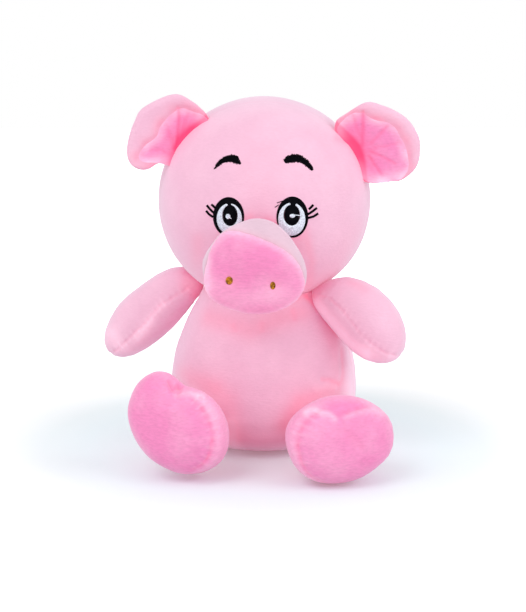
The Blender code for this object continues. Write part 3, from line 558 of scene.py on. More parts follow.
def velboa(name, pile, streaks, edge, sheen=0.45):
    """Short-pile velboa. A piece's crease attribute says where shade is painted on it, its pale attribute
    where highlight and pale fringes are.

    The edge is how far the colour goes to a painted lilac sheen, with a faint glow, where the pile is seen
    along the surface.
    """
    found = bpy.data.materials.get(name)
    if found:
        return found
    made, tree, shader = empty_material(name)
    place = node(tree, "ShaderNodeTexCoord", (-700, 200))
    crease = node(tree, "ShaderNodeAttribute", (-700, -60), attribute_name="crease")
    pale = node(tree, "ShaderNodeAttribute", (-700, -260), attribute_name="pale")
    group = node(tree, "ShaderNodeGroup", (-400, 100), {
        "Place": place.outputs["Object"],
        "Pile": opaque(pile),
        "Crease colour": opaque(colours().painted_crease_red),
        "Highlight and pale colour": opaque(colours().highlight_and_pale_pink),
        "Painted glow": opaque(colours().painted_glow),
        "Crease": crease.outputs["Fac"],
        "Pale": pale.outputs["Fac"],
        "Streaks": streaks,
    }, node_tree=pile_group()).outputs
    along = node(tree, "ShaderNodeLayerWeight", (-400, 400), {"Blend": 0.5}).outputs["Facing"]
    lilac = opaque(colours().rim_sheen_lilac)
    bump = node(tree, "ShaderNodeBump", (-180, -200), {
        "Strength": 0.5, "Distance": sizes().pile, "Height": group["Height"],
    })
    # Painted rim sheen: the colour goes to lilac and glows faintly where the pile is seen along the surface;
    # the pile's painted glow is added.
    feed(tree, shader, {
        "Base Color": mix_colour(
            tree, map_range(tree, along, (-200, 400), (0.35, 1.0), (0.0, edge)),
            group["Colour"], lilac, (-20, 300),
        ),
        "Emission Color": mix_colour(
            tree, map_range(tree, along, (-200, 60), (0.4, 1.0), (0.0, RIM_SHEEN_GLOW * edge)),
            group["Glow"], lilac, (-20, 60), "ADD",
        ),
        "Emission Strength": 1.0,
        "Roughness": group["Roughness"],
        "Normal": bump.outputs["Normal"],
        "Sheen Weight": sheen,
        "Sheen Roughness": 0.35,
        "Sheen Tint": opaque(SHEEN_TINT),
        "Specular IOR Level": 0.05,
    })
    return made


def pale_velboa():
    return velboa("pale velboa", colours().pale_pink, 0.35, 0.9)


def deep_velboa():
    return velboa("deep velboa", colours().deep_pink, 1.0, 0.35, 0.3)


def gusset_velboa():
    return velboa("gusset velboa", colours().gusset_pink, 0.35, 0.6)


def rayon(name, colour, gloss=0.12, shade=0.75, scale=2400.0, roughness=0.42):
    """Embroidery thread: a satin gloss, with a fine twist along it."""
    found = bpy.data.materials.get(name)
    if found:
        return found
    made, tree, shader = empty_material(name)
    place = node(tree, "ShaderNodeTexCoord", (-900, 100))
    twist = noise(tree, place.outputs["Object"], (-700, 100), scale, 1.0)
    shades = map_range(tree, twist, (-500, 100), (0.35, 0.65), (shade, 1.15))
    bump = node(tree, "ShaderNodeBump", (-280, -320), {
        "Strength": 0.4, "Distance": TWIST_DEPTH, "Height": twist,
    })
    feed(tree, shader, {
        "Base Color": mix_colour(tree, 1.0, opaque(colour), shades, (-280, 100), "MULTIPLY"),
        "Roughness": map_range(tree, twist, (-500, -160), (0.0, 1.0),
                               (roughness - 0.1, roughness + 0.15)),
        "Normal": bump.outputs["Normal"],
        "Specular IOR Level": gloss,
    })
    return made


def dress(item, material):
    """Gives a finished piece its only material."""
    item.data.materials.clear()
    item.data.materials.append(material)


# Cloth

SIM_SCALE = 10.0
CLOTH_STEPS = 20
CLOTH_QUALITY = 4
CLOTH_MASS = 0.2
CLOTH_STIFFNESS = 15.0
STUFFING_PRESSURE = 20.0
LEAST_PIN = 0.02
LEAST_LENGTH = 1e-9


def inflate(item, cap, growth, pinned):
    """Swells a closed form as stuffed fabric that is a little too large for it and sewn down at its seams."""
    only(item)
    start = places(item)
    put(item, start * SIM_SCALE)
    modifier = item.modifiers.new("Stuffing pressure", "CLOTH")
    cloth = modifier.settings
    cloth.quality = CLOTH_QUALITY
    cloth.mass = CLOTH_MASS
    cloth.tension_stiffness = CLOTH_STIFFNESS
    cloth.compression_stiffness = CLOTH_STIFFNESS
    cloth.use_pressure = True
    cloth.uniform_pressure_force = STUFFING_PRESSURE
    cloth.shrink_min = -growth
    cloth.effector_weights.gravity = 0.0
    group = item.vertex_groups.new(name="sewn")
    for index in np.nonzero(pinned > LEAST_PIN)[0]:
        group.add([int(index)], float(pinned[index]), "REPLACE")
    cloth.vertex_group_mass = group.name
    scene = bpy.context.scene
    for step in range(1, CLOTH_STEPS + 1):
        scene.frame_set(step)
    evaluated = item.evaluated_get(bpy.context.evaluated_depsgraph_get())
    swollen = np.empty(start.size)
    evaluated.data.vertices.foreach_get("co", swollen)
    item.modifiers.remove(modifier)
    item.vertex_groups.clear()
    scene.frame_set(1)
    moved = swollen.reshape(-1, 3) / SIM_SCALE - start
    length = np.linalg.norm(moved, axis=1, keepdims=True)
    put(item, start + moved * np.minimum(1.0, cap / np.maximum(length, LEAST_LENGTH)))


def finish_padded(item, material):
    smooth_shading(item)
    dress(item, material)


# Sewing and stuffing marks

OUTLINE_POINTS = 96
STITCH_WAVE = 5.0 * MM
PUCKER_REACH = 2.6 * MM
PUCKER_DRIFT = 2.0
PUCKER_DRIFT_WAVE = 20.0 * MM


def sewn_groove(seam, width, co, unevenness, seed):
    """1 on a seam, falling off beside it, a little deeper and shallower from stitch to stitch."""
    return fade(seam, width) * (1.0 + unevenness * wander(co, STITCH_WAVE, seed))


def lumps(co, table):
    """How far a stuffed surface stands out, from waves of (height, wavelength, seed)."""
    return sum(height * wander(co, wavelength, seed) for height, wavelength, seed in table)


def frame_of(axes, origin):
    """The place and turn of a piece, from its three axes and its origin."""
    return Matrix.Translation(origin) @ Matrix(axes).transposed().to_4x4()


# Head

HEAD_SEAM_FORWARD = 15.0 * MM
HEAD_CUTS = 31
HEAD_DEPTH_SHARE = 0.985
HEAD_SWELL = 0.3 * MM
HEAD_GROWTH = 0.006
# Heights between which the cloth comes loose from the neck
HEAD_PINNED = (84.0 * MM, 78.0 * MM)
HEAD_UNEVENNESS = 0.5
HEAD_GROOVE_SHARE = 0.15
HEAD_LUMPS = ((0.25 * MM, 48.0 * MM, 5), (0.05 * MM, 14.0 * MM, 6))
HEAD_NECK_SHADE = (96.0 * MM, 78.0 * MM)
SNOUT_DROP = 18.3 * MM
SNOUT_SHIFT = -3.6 * MM
SNOUT_ROLL = math.radians(-6.0)
SNOUT_BASE_SHIFT = 1.8 * MM
SNOUT_BASE_DROP = 2.6 * MM
# The dent that the snout sits in
DENT_HALF_WIDTH = 15.0 * MM
DENT_HALF_HEIGHT = 13.2 * MM
DENT_DEPTH = 1.2 * MM
DENT_BLUR = 0.3

# Red painted on the head: painted shade where the snout and the neck shade it and in a fold by the ear, and a
# faint red down the middle of the face
HEAD_PAINTED_SHADE = (
    (((305, 232), (312, 262), (308, 292)), 2.6, 0.0, 0.14, 0.0),
    (((268, 219), (285, 226), (300, 238)), 1.6, 0.0, 0.10, 0.0),
    (((250, 216), (236, 222)), 2.0, 0.0, 0.10, 0.0),
    (((198, 240), (196, 262)), 4.0, 0.0, 0.10, 0.0),
    (((318, 284), (345, 262), (362, 232)), 7.0, 0.0, 0.10, 0.0),
    (((205, 298), (180, 270)), 5.0, 0.0, 0.08, 0.0),
    (((344, 141), (337, 139)), 2.0, 0.4, 0.25, 0.0),
    (((262, 160), (262, 205)), 13.0, 0.0, 0.05, 0.0),
)


def snout_frame():
    drop = SNOUT_DROP / HEAD_RADIUS
    turn = SNOUT_SHIFT / HEAD_RADIUS
    ahead = Vector((
        math.sin(turn) * math.cos(drop), -math.cos(turn) * math.cos(drop), -math.sin(drop),
    ))
    level = ahead.cross(Vector((0.0, 0.0, -1.0))).normalized()
    across = Matrix.Rotation(SNOUT_ROLL, 3, ahead) @ level
    return frame_of((across, ahead.cross(across), ahead), HEAD_CENTRE)


class PLUSHPIG_OT_head(bpy.types.Operator):
    """Model the ball of the head, with its seam from ear to ear and the dent round the snout"""
    bl_idname = "plushpig.head"
    bl_label = "Head"

    def execute(self, context):
        half_width = sizes().head_half_width
        half_sizes = (half_width, half_width * HEAD_DEPTH_SHARE, sizes().head_half_height)
        made = ball("head_cover", half_sizes, HEAD_CENTRE, HEAD_CUTS)
        inflate(made, HEAD_SWELL, HEAD_GROWTH, ramp(places(made)[:, 2], *HEAD_PINNED))
        subdivide_surface(made, 2)
        co = places(made)
        seam = co[:, 1] - (HEAD_CENTRE.y - HEAD_SEAM_FORWARD)
        groove = sewn_groove(seam, sizes().seam_width, co, HEAD_UNEVENNESS, 3)
        turned = np.array(snout_frame().inverted()) @ np.column_stack([co, np.ones(len(co))]).T
        round_snout = np.hypot(
            (turned[0] - SNOUT_BASE_SHIFT) / DENT_HALF_WIDTH,
            (turned[1] + SNOUT_BASE_DROP) / DENT_HALF_HEIGHT,
        )
        dent = fade(round_snout - 1.0, DENT_BLUR) * (turned[2] > 0.0)
        sewn_down = HEAD_GROOVE_SHARE * sizes().seam_depth * groove
        push(made, lumps(co, HEAD_LUMPS) - sewn_down - DENT_DEPTH * dent)
        # Painted shade: red along the seam's groove, round the snout's dent and low on the head by the neck.
        neck = ramp(co[:, 2], *HEAD_NECK_SHADE)
        write_attribute(made, "crease", 0.02 * groove + 0.12 * dent + 0.22 * neck)
        sculpt(made, HEAD_PAINTED_SHADE, tapered=False)
        finish_padded(made, pale_velboa())
        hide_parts("head_face_panel", "head_back_panel", "head_stuffing")
        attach(made, "head")
        return {"FINISHED"}


# Body

BODY_SIDES = 48
BODY_SQUARES = 2.4 * MM
BODY_RELAXING = 4
SIDE_SEAM_BACK = 9.0 * MM
BODY_SEWN_WIDTH = 1.5 * MM
# Heights between which the cloth comes loose from the seat's seam and from the collar
BODY_SEAT_PINNED = (6.0 * MM, 3.0 * MM)
BODY_COLLAR_PINNED = (76.0 * MM, 80.0 * MM)
BODY_SWELL = 0.9 * MM
BODY_GROWTH = 0.015
BODY_UNEVENNESS = 0.6
BODY_LUMPS = ((0.35 * MM, 42.0 * MM, 12), (0.06 * MM, 13.0 * MM, 13))
# Heights between which the lumps set in above the seat, and end below the collar
BODY_LUMPS_FROM = (2.0 * MM, 8.0 * MM)
BODY_LUMPS_TO = (72.0 * MM, 78.0 * MM)
BODY_NECK_REACH = 3.0 * MM
BODY_SHARES = (
    (0.000, 0.36), (0.012, 0.52), (0.035, 0.68), (0.07, 0.80), (0.130, 0.915), (0.233, 0.985),
    (0.349, 1.00),
    (0.465, 0.987), (0.581, 0.946), (0.698, 0.87), (0.791, 0.787), (0.872, 0.70), (0.942, 0.643),
    (0.985, 0.60),
)

# Folds of the body: its side seam with a pucker, and the gathers under the arms and the chin, with painted
# shade in them and painted highlight on a ridge
BODY_FOLDS = (
    (((341, 344), (342, 358), (343, 372), (341, 386)), 1.0, 0.4, 0.14, 0.0),
    (((319, 379), (330, 380), (342, 385)), 1.2, 0.5, 0.16, 0.0),
    (((312, 392), (326, 387), (338, 389)), 2.2, -0.4, 0.0, 0.12),
    (((232, 322), (236, 333)), 1.6, 0.25, 0.06, 0.0),
    (((262, 320), (262, 334)), 1.8, 0.25, 0.06, 0.0),
    (((292, 306), (296, 322)), 1.6, 0.25, 0.08, 0.0),
)
# Painted shade and highlight on the body: red along the tops of the feet, low between them, under the chin
# and where the arm meets it; pale by the side seam and low beside the foot.
BODY_PAINTED_SHADE_AND_HIGHLIGHT = (
    (((229, 400), (233, 416), (236, 436)), 5.5, 0.0, 0.10, 0.0),
    (((180, 374), (200, 382), (214, 388)), 5.5, 0.0, 0.16, 0.0),
    (((286, 424), (300, 402), (335, 392)), 5.0, 0.0, 0.20, 0.0),
    (((230, 440), (262, 444), (290, 436)), 9.0, 0.0, 0.14, 0.0),
    (((210, 318), (250, 330), (300, 312)), 6.0, 0.0, 0.16, 0.0),
    (((306, 296), (314, 304), (326, 318), (338, 336)), 1.2, 0.0, 0.30, 0.0),
    (((352, 335), (355, 362), (354, 400)), 5.0, 0.0, 0.0, 0.80),
    (((326, 326), (336, 348), (338, 380)), 4.5, 0.0, 0.07, 0.20),
    (((231, 424), (234, 448)), 3.5, 0.0, 0.0, 0.45),
)


def side_seam(co):
    return co[:, 1] + SIDE_SEAM_BACK * np.sign(co[:, 0])


class PLUSHPIG_OT_body(bpy.types.Operator):
    """Model the pear of the body, flat underneath and hollowed on top where the head sits"""
    bl_idname = "plushpig.body"
    bl_label = "Body"

    def execute(self, context):
        height = sizes().body_height
        stations = [
            (height * rise, sizes().belly_half_width * share, sizes().belly_half_depth * share, 0.0, 0.0)
            for rise, share in BODY_SHARES
        ]
        made = loft("body_cover", stations, BODY_SIDES)
        even_squares(made, BODY_SQUARES, BODY_RELAXING)
        co = places(made)
        sewn = np.maximum(fade(side_seam(co), BODY_SEWN_WIDTH), ramp(co[:, 2], *BODY_SEAT_PINNED))
        sewn = np.maximum(sewn, ramp(co[:, 2], *BODY_COLLAR_PINNED))
        inflate(made, BODY_SWELL, BODY_GROWTH, sewn)
        subdivide_surface(made, 1)
        co = places(made)
        co[:, 2] = np.maximum(co[:, 2], 0.0)
        from_head = co - np.array(HEAD_CENTRE)
        reach = np.linalg.norm(from_head, axis=1, keepdims=True)
        nest = (sizes().head_half_width + sizes().head_half_height) / 2
        co = np.where(reach < nest, np.array(HEAD_CENTRE) + from_head * (nest / reach), co)
        put(made, co)
        groove = sewn_groove(side_seam(co), sizes().seam_width, co, BODY_UNEVENNESS, 11)
        free = ramp(co[:, 2], *BODY_LUMPS_FROM) * (1.0 - ramp(co[:, 2], *BODY_LUMPS_TO))
        push(made, free * (lumps(co, BODY_LUMPS) - sizes().seam_depth * groove))
        # Painted shade: red in the side seam's groove and round the neck where the head sits.
        neck = fade(np.maximum(reach[:, 0] - nest, 0.0), BODY_NECK_REACH)
        write_attribute(made, "crease", 0.12 * groove * free + 0.18 * neck)
        sculpt(made, BODY_FOLDS)
        sculpt(made, BODY_PAINTED_SHADE_AND_HIGHLIGHT, tapered=False)
        finish_padded(made, pale_velboa())
        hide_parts("body_front_panel", "body_back_panel", "seat_panel", "body_stuffing",
                    "pellet_bag")
        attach(made, "torso")
        return {"FINISHED"}


# Snout

SNOUT_BASE = 51.2 * MM
SNOUT_SEAM = 70.7 * MM
SNOUT_DOME = 6.0 * MM
SNOUT_FACE_GAP = 0.4 * MM
SNOUT_SIDES = 64
FACE_OVERHANG = 1.02
# Share of the ring's length from which it narrows to the face
NARROWS_FROM = 0.55
RING_SQUARES = 1.5 * MM
RING_RELAXING = 3
RING_RIM = 2.2 * MM
RING_ROOT_HEIGHT = 2.0 * MM
RING_ROOT_REACH = 4.0 * MM
RING_LUMPS = ((0.3 * MM, 16.0 * MM, 21),)
RIM_PUCKER = 0.15 * MM
RIM_PUCKERS = 23.0
FACE_SQUARES = 1.4 * MM
FACE_RELAXING = 5
FACE_LUMPS = ((0.25 * MM, 17.0 * MM, 23),)
NOSTRIL_DENT_REACH = 3.0 * MM
NOSTRIL_DENT = 0.8 * MM
# Shares of the face's outline between which its pile goes pale
FACE_PALE_EDGE = (0.82, 1.06)
SNOUT_MIDDLE = (0.5, -1.5)
# Outlines of the snout in mm, across and up: its ring at its widest, and its face
RING_OUTLINE = (
    (1.0, 21.3), (5.9, 20.7), (10.2, 18.3), (15.0, 14.2), (18.4, 9.2), (22.1, 3.4), (24.2, -3.0),
    (24.0, -8.0), (21.4, -13.6), (14.6, -19.6), (5.8, -23.0), (-4.6, -22.7), (-13.3, -20.8),
    (-18.8, -17.3), (-22.3, -12.4), (-24.0, -6.0), (-24.0, -2.0), (-22.6, 2.4), (-18.9, 9.5),
    (-14.7, 14.4), (-8.6, 18.4), (-3.4, 21.0),
)
FACE_OUTLINE = (
    (-13.6, 19.2), (-9.6, 19.6), (-3.5, 18.3), (6.6, 15.2), (14.8, 11.0), (20.9, 5.4), (23.6, -1.5),
    (23.5, -7.3), (20.8, -12.8), (14.1, -18.9), (5.6, -22.3), (-4.5, -22.0), (-12.9, -20.1), (-18.2, -16.7),
    (-21.3, -12.0), (-22.3, -5.9), (-21.7, 1.5), (-20.4, 8.6), (-17.6, 15.0),
)
NOSTRIL_SPREAD = 9.8 * MM
NOSTRIL_DROP = 3.9 * MM
GUSSET_SHARES = (
    (-0.33, 0.50), (0.0, 0.60), (0.12, 0.72), (0.26, 0.86), (0.42, 0.96), (0.60, 1.0), (0.78, 1.0),
    (0.93, 0.985), (1.0, 0.95),
)
SNOUT_FACE_SHARES = (
    (-0.3, 0.80), (-0.15, 0.93), (0.1, 1.0), (0.35, 0.975), (0.6, 0.86), (0.8, 0.68), (0.93, 0.46),
    (0.99, 0.22),
)
# Painted shade and highlight on the snout's face: a faint red at its top, pale low down and at its left edge.
SNOUT_PAINTED_SHADE_AND_HIGHLIGHT = (
    (((240, 240), (270, 247), (290, 262)), 6.0, 0.0, 0.01, 0.0),
    (((215, 290), (245, 305), (285, 296)), 8.0, 0.0, 0.0, 0.20),
    (((207, 262), (209, 285)), 2.5, 0.0, 0.0, 0.25),
)


class PLUSHPIG_OT_snout(bpy.types.Operator):
    """Model the pale ring of the snout and its deep pink domed face"""
    bl_idname = "plushpig.snout"
    bl_label = "Snout"

    def execute(self, context):
        middle = np.array(SNOUT_MIDDLE) * MM
        face_outline = smooth_outline(FACE_OUTLINE, OUTLINE_POINTS) * FACE_OVERHANG
        self.ring(middle, face_outline)
        self.face(middle, face_outline)
        return {"FINISHED"}

    def ring(self, middle, face_outline):
        length = SNOUT_SEAM - SNOUT_BASE
        outline = smooth_outline(RING_OUTLINE, OUTLINE_POINTS)
        table = [(SNOUT_BASE + length * along, share) for along, share in GUSSET_SHARES]
        made = outlined("snout_gusset_cover", outline, middle, table, SNOUT_SIDES)
        co = places(made)
        flat = co[:, :2] - middle
        angle = np.arctan2(flat[:, 1], flat[:, 0])
        narrowed = bearing(face_outline, middle, angle) / bearing(outline, middle, angle)
        forward = ramp(co[:, 2], SNOUT_BASE + NARROWS_FROM * length, SNOUT_SEAM)
        co[:, :2] = middle + flat * (1.0 - (1.0 - narrowed) * forward)[:, None]
        put(made, co)
        even_squares(made, RING_SQUARES, RING_RELAXING)
        subdivide_surface(made, 1)
        co = places(made)
        angle = np.arctan2(co[:, 1], co[:, 0])
        rim = fade(co[:, 2] - SNOUT_SEAM, RING_RIM)
        root = fade(co[:, 2] - SNOUT_BASE - RING_ROOT_HEIGHT, RING_ROOT_REACH)
        push(made, lumps(co, RING_LUMPS) + RIM_PUCKER * rim * np.sin(angle * RIM_PUCKERS))
        # Painted shade: red under the ring's rim and at its root against the head.
        write_attribute(made, "crease", 0.06 * rim + 0.20 * root)
        settle(made, snout_frame())
        finish_padded(made, gusset_velboa())
        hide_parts("snout_gusset", "snout_stuffing")
        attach(made, "head")

    def face(self, middle, face_outline):
        table = [
            (SNOUT_SEAM + SNOUT_FACE_GAP + SNOUT_DOME * rise, share) for rise, share in SNOUT_FACE_SHARES
        ]
        made = outlined("snout_face_cover", face_outline, middle, table, SNOUT_SIDES)
        even_squares(made, FACE_SQUARES, FACE_RELAXING)
        subdivide_surface(made, 1)
        co = places(made)
        dents = np.zeros(len(co))
        for side in (-1.0, 1.0):
            from_nostril = np.hypot(co[:, 0] - side * NOSTRIL_SPREAD, co[:, 1] + NOSTRIL_DROP)
            dents += fade(from_nostril, NOSTRIL_DENT_REACH)
        push(made, lumps(co, FACE_LUMPS) - NOSTRIL_DENT * dents)
        edge = outline_share(co[:, :2], face_outline, middle)[0]
        # Painted shade in the nostril dents; the pale fringe towards the face's edge, and a little pale in
        # the dents.
        write_attribute(made, "crease", 0.12 * dents)
        write_attribute(made, "pale", 0.42 * ramp(edge, *FACE_PALE_EDGE) + 0.1 * dents)
        settle(made, snout_frame())
        sculpt(made, SNOUT_PAINTED_SHADE_AND_HIGHLIGHT, tapered=False)
        finish_padded(made, deep_velboa())
        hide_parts("snout_face")
        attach(made, "head")


# Arms

ARM_SIDES = 32
LIMB_SQUARES = 1.9 * MM
LIMB_RELAXING = 4
ARM_SEWN_WIDTH = 1.0 * MM
ARM_SEWN_SHARE = 0.5
# Places along an arm between which the cloth comes loose from the root, and the lumps set in
ARM_PINNED = (3.0 * MM, 0.0)
ARM_FREE = (-1.0 * MM, 5.0 * MM)
ARM_ROOT_SHADE = (-2.0 * MM, 8.0 * MM)
ARM_SWELL = 0.8 * MM
ARM_GROWTH = 0.025
ARM_UNEVENNESS = 0.6
ARM_GROOVE_SHARE = 0.5
ARM_LUMPS = ((0.2 * MM, 22.0 * MM, 33),)
ARM_PUCKER_PITCH = 3.2 * MM
ARM_PUCKER = 0.10 * MM
ARM_PALE_WAVE = 9.0 * MM
# Stations of an arm in mm: how far along it, its upper edge, its lower edge, its half depth
ARM_STATIONS = {
    "right": (
        (-3.0, 2.0, -1.0, 4.0), (-1.0, 8.2, 1.6, 7.0), (2.5, 13.0, 3.2, 8.6), (8.0, 15.6, 5.4, 10.2),
        (15.0, 16.6, 7.8, 11.4), (24.0, 16.6, 10.3, 12.3), (33.0, 16.0, 11.4, 12.4),
        (41.0, 14.2, 11.8, 11.8),
        (48.0, 10.9, 11.3, 10.4), (53.0, 7.7, 9.8, 8.4), (56.5, 4.2, 7.0, 5.8), (58.3, 0.6, 3.8, 3.0),
    ),
    "left": (
        (-4.0, 2.0, 2.0, 3.5), (-1.5, 5.4, 6.4, 6.5), (2.0, 9.8, 7.8, 8.8), (7.0, 14.5, 9.2, 10.4),
        (14.0, 17.6, 10.6, 11.6), (22.0, 19.3, 12.4, 12.3), (30.0, 18.7, 13.2, 12.4),
        (37.0, 16.2, 12.4, 11.6),
        (42.5, 12.8, 10.3, 10.0), (46.0, 9.4, 8.0, 8.0), (48.6, 5.6, 4.8, 5.2), (49.8, 2.2, 1.6, 2.4),
    ),
}
# The seam round an arm in mm: how far along, how high
ARM_SEAMS = {
    "right": ((-0.9, 3.0), (8.3, 2.8), (19.9, 2.9), (29.4, -0.1), (37.7, -1.5), (50.8, -4.2)),
    "left": ((-4.4, -2.1), (0.2, 0.1), (7.8, 4.7), (14.0, 5.1), (19.3, 4.9), (24.0, 3.7), (31.6, 1.7),
             (37.4, 0.7), (46.0, 0.1)),
}
ARM_DROOP = {"left": math.radians(32.0), "right": math.radians(33.5)}
# Painted shade and highlight on the arms: red at their roots, pale along their lower edges, seams and tips.
ARM_PAINTED_SHADE_AND_HIGHLIGHT = {
    "right": (
        (((205, 292), (196, 296)), 2.0, 0.0, 0.10, 0.0),
        (((196, 294), (186, 286)), 4.5, 0.0, 0.12, 0.0),
        (((204, 300), (190, 320), (166, 344), (138, 358)), 2.4, 0.0, 0.0, 0.85),
        (((163, 304), (152, 316), (146, 328), (138, 338)), 2.2, -0.2, 0.0, 0.28),
        (((149, 322), (140, 333), (128, 350)), 3.5, 0.0, 0.0, 0.22),
        (((119, 345), (112, 333)), 4.0, 0.0, 0.0, 0.40),
    ),
    "left": (
        (((303, 294), (312, 296)), 1.4, 0.0, 0.26, 0.0),
        (((316, 304), (330, 320), (346, 340), (366, 356)), 3.0, 0.0, 0.0, 0.55),
        (((368, 352), (380, 362), (390, 360)), 4.0, 0.0, 0.0, 0.40),
        (((366, 288), (352, 280)), 3.0, 0.0, 0.12, 0.0),
    ),
}


def arm_frame(side):
    joint = JOINTS["arm_" + side + "_swing"]
    hinge = -Vector(joint["axis"])
    ahead = Vector((0.0, 0.0, -1.0)).cross(hinge)
    droop = ARM_DROOP[side]
    along = ahead * math.cos(droop) - Vector((0.0, 0.0, math.sin(droop)))
    return frame_of((hinge, along.cross(hinge), along), joint["pos_m"]), along


def above_arm_seam(co, side):
    line = np.array(ARM_SEAMS[side]) * MM
    return co[:, 1] - np.interp(co[:, 2], line[:, 0], line[:, 1])


class PLUSHPIG_OT_arms(bpy.types.Operator):
    """Model both arms, petals with a puckered seam round them"""
    bl_idname = "plushpig.arms"
    bl_label = "Arms"

    def execute(self, context):
        for side in ("left", "right"):
            turn, along = arm_frame(side)
            stations = [
                (z * MM, depth * MM, (upper + lower) / 2 * MM, 0.0, (upper - lower) / 2 * MM)
                for z, upper, lower, depth in ARM_STATIONS[side]
            ]
            made = loft("arm_cover_" + side, stations, ARM_SIDES)
            even_squares(made, LIMB_SQUARES, LIMB_RELAXING)
            co = places(made)
            sewn = ARM_SEWN_SHARE * fade(above_arm_seam(co, side), ARM_SEWN_WIDTH)
            inflate(made, ARM_SWELL, ARM_GROWTH, np.maximum(sewn, ramp(co[:, 2], *ARM_PINNED)))
            subdivide_surface(made, 2)
            co = places(made)
            seam = above_arm_seam(co, side)
            free = ramp(co[:, 2], *ARM_FREE)
            groove = sewn_groove(seam, sizes().seam_width, co, ARM_UNEVENNESS, 31) * free
            drift = PUCKER_DRIFT * wander(co, PUCKER_DRIFT_WAVE, 32)
            beside = fade(seam, PUCKER_REACH) * free
            wrinkles = beside * np.sin(co[:, 2] * math.tau / ARM_PUCKER_PITCH + drift)
            sewn_down = ARM_GROOVE_SHARE * sizes().seam_depth * groove
            push(made, lumps(co, ARM_LUMPS) * free - sewn_down + ARM_PUCKER * wrinkles)
            # Painted shade: red in the seam's groove and at the root; painted highlight on the tops of the
            # puckers.
            root = 1.0 - ramp(co[:, 2], *ARM_ROOT_SHADE)
            write_attribute(made, "crease", 0.06 * groove + 0.14 * root)
            uneven = 0.5 + 0.5 * wander(co, ARM_PALE_WAVE, 34)
            write_attribute(made, "pale", 0.05 + 0.22 * np.maximum(wrinkles, 0.0) * uneven)
            settle(made, turn)
            sculpt(made, ARM_PAINTED_SHADE_AND_HIGHLIGHT[side], tapered=False)
            finish_padded(made, pale_velboa())
            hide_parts("arm_upper_panel_" + side, "arm_lower_panel_" + side, "arm_stuffing_" + side)
            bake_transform(made)
        return {"FINISHED"}


# Legs and feet

LEG_REACH = {"left": 51.0 * MM, "right": 46.0 * MM}
FOOT_SIDES = 48
# A foot's outline rests on the floor at this depth in it
FOOT_SINK = 0.5 * MM
# Shares of the leg's reach: where the foot levels out behind, where its seam shows, where it is hidden
FOOT_LEVELLING = (0.70, 0.55)
FOOT_FRONT = (0.70, 0.80)
FOOT_HIDDEN = (0.36, 0.52)
FOOT_SEWN_FROM = 0.75
FOOT_REACH = 24.0 * MM
FOOT_SEWN_SHARE = 0.4
FOOT_SEWN_WIDTH = 1.0 * MM
FOOT_SWELL = 0.4 * MM
FOOT_GROWTH = 0.012
# How strongly the seam shows on the +X and the -X half of each foot, and from which slant on
FOOT_SEAM_SHARES = {"left": (0.4, 0.9), "right": (1.0, 0.1)}
FOOT_SEAM_SLANT = (0.35, 0.75)
FOOT_UNEVENNESS = 0.5
FOOT_GROOVE_WIDTH = 0.8 * MM
FOOT_GROOVE = 0.4 * MM
FOOT_RIDGE_OFFSET = 1.6 * MM
FOOT_RIDGE_WIDTH = 1.4 * MM
FOOT_LUMPS = ((0.3 * MM, 24.0 * MM, 42),)
FOOT_PUCKER = 0.12 * MM
FOOT_PUCKERS = 31.0
FOOT_PALE_EDGE = (0.90, 1.0)
LEG_SIDES = 32
# Stations of a leg: share of its reach, half width mm, half height mm, share of the foot's rise
LEG_STATIONS = (
    (-0.06, 4.0, 1.5, 0.0), (0.0, 7.5, 3.0, 0.0), (0.10, 11.0, 7.5, 0.25), (0.22, 13.0, 11.0, 0.50),
    (0.34, 14.5, 12.5, 0.75), (0.46, 14.0, 12.0, 0.9),
)
LEG_LUMPS = ((0.25 * MM, 12.0 * MM, 45),)
# Painted shade: red over the whole leg, which sits under the body
LEG_PAINTED_SHADE = 0.3
# Outlines of the feet in mm: across, above the floor
FOOT_OUTLINES = {
    "right": (
        (-10.5, 51.5), (-17.6, 48.1), (-22.8, 43.0), (-26.3, 32.7), (-23.2, 21.7), (-18.2, 13.8),
        (-10.6, 7.4),
        (4.6, 2.7), (16.4, 8.8), (21.7, 16.8), (22.6, 26.0), (19.8, 34.8), (15.8, 40.6), (7.4, 44.6),
        (1.2, 44.2), (-3.6, 49.4),
    ),
    "left": (
        (-25.6, 25.8), (-21.3, 33.6), (-14.4, 37.8), (-6.0, 41.0), (2.3, 41.5), (12.2, 39.2), (23.6, 31.8),
        (25.8, 22.9), (24.7, 14.0), (16.8, 7.2), (6.8, 2.0), (-7.1, 1.1), (-17.0, 5.1), (-22.9, 12.9),
    ),
}
FOOT_STATIONS = (
    (0.36, 0.60), (0.42, 0.77), (0.50, 0.90), (0.60, 0.98), (0.70, 1.0), (0.80, 0.985), (0.88, 0.90),
    (0.94, 0.76), (0.98, 0.56), (0.998, 0.3),
)
SOLE_SHARE = {"left": 0.94, "right": 0.88}
# Folds of the feet, with painted shade in them and painted highlight on their ridges
FOOT_FOLDS = {
    "right": (
        (((168, 378), (173, 389), (182, 385)), 1.3, 1.1, 0.24, 0.0),
        (((182, 384), (180, 391), (176, 398)), 1.3, 0.9, 0.20, 0.0),
        (((171, 396), (190, 394), (208, 398)), 1.5, -0.5, 0.0, 0.25),
        (((199, 397), (203, 398)), 1.0, 0.6, 0.18, 0.0),
        (((190, 404), (205, 414), (209, 430)), 3.0, 0.3, 0.03, 0.0),
    ),
    "left": (
        (((334, 417), (350, 411), (370, 405)), 1.5, 0.8, 0.12, 0.0),
        (((300, 415), (310, 410), (330, 415), (339, 423)), 1.7, -0.6, 0.0, 0.30),
        (((340, 420), (356, 413), (374, 410), (388, 418)), 1.7, -0.5, 0.0, 0.22),
        (((338, 428), (352, 437), (366, 450)), 3.0, 0.4, 0.05, 0.0),
    ),
}


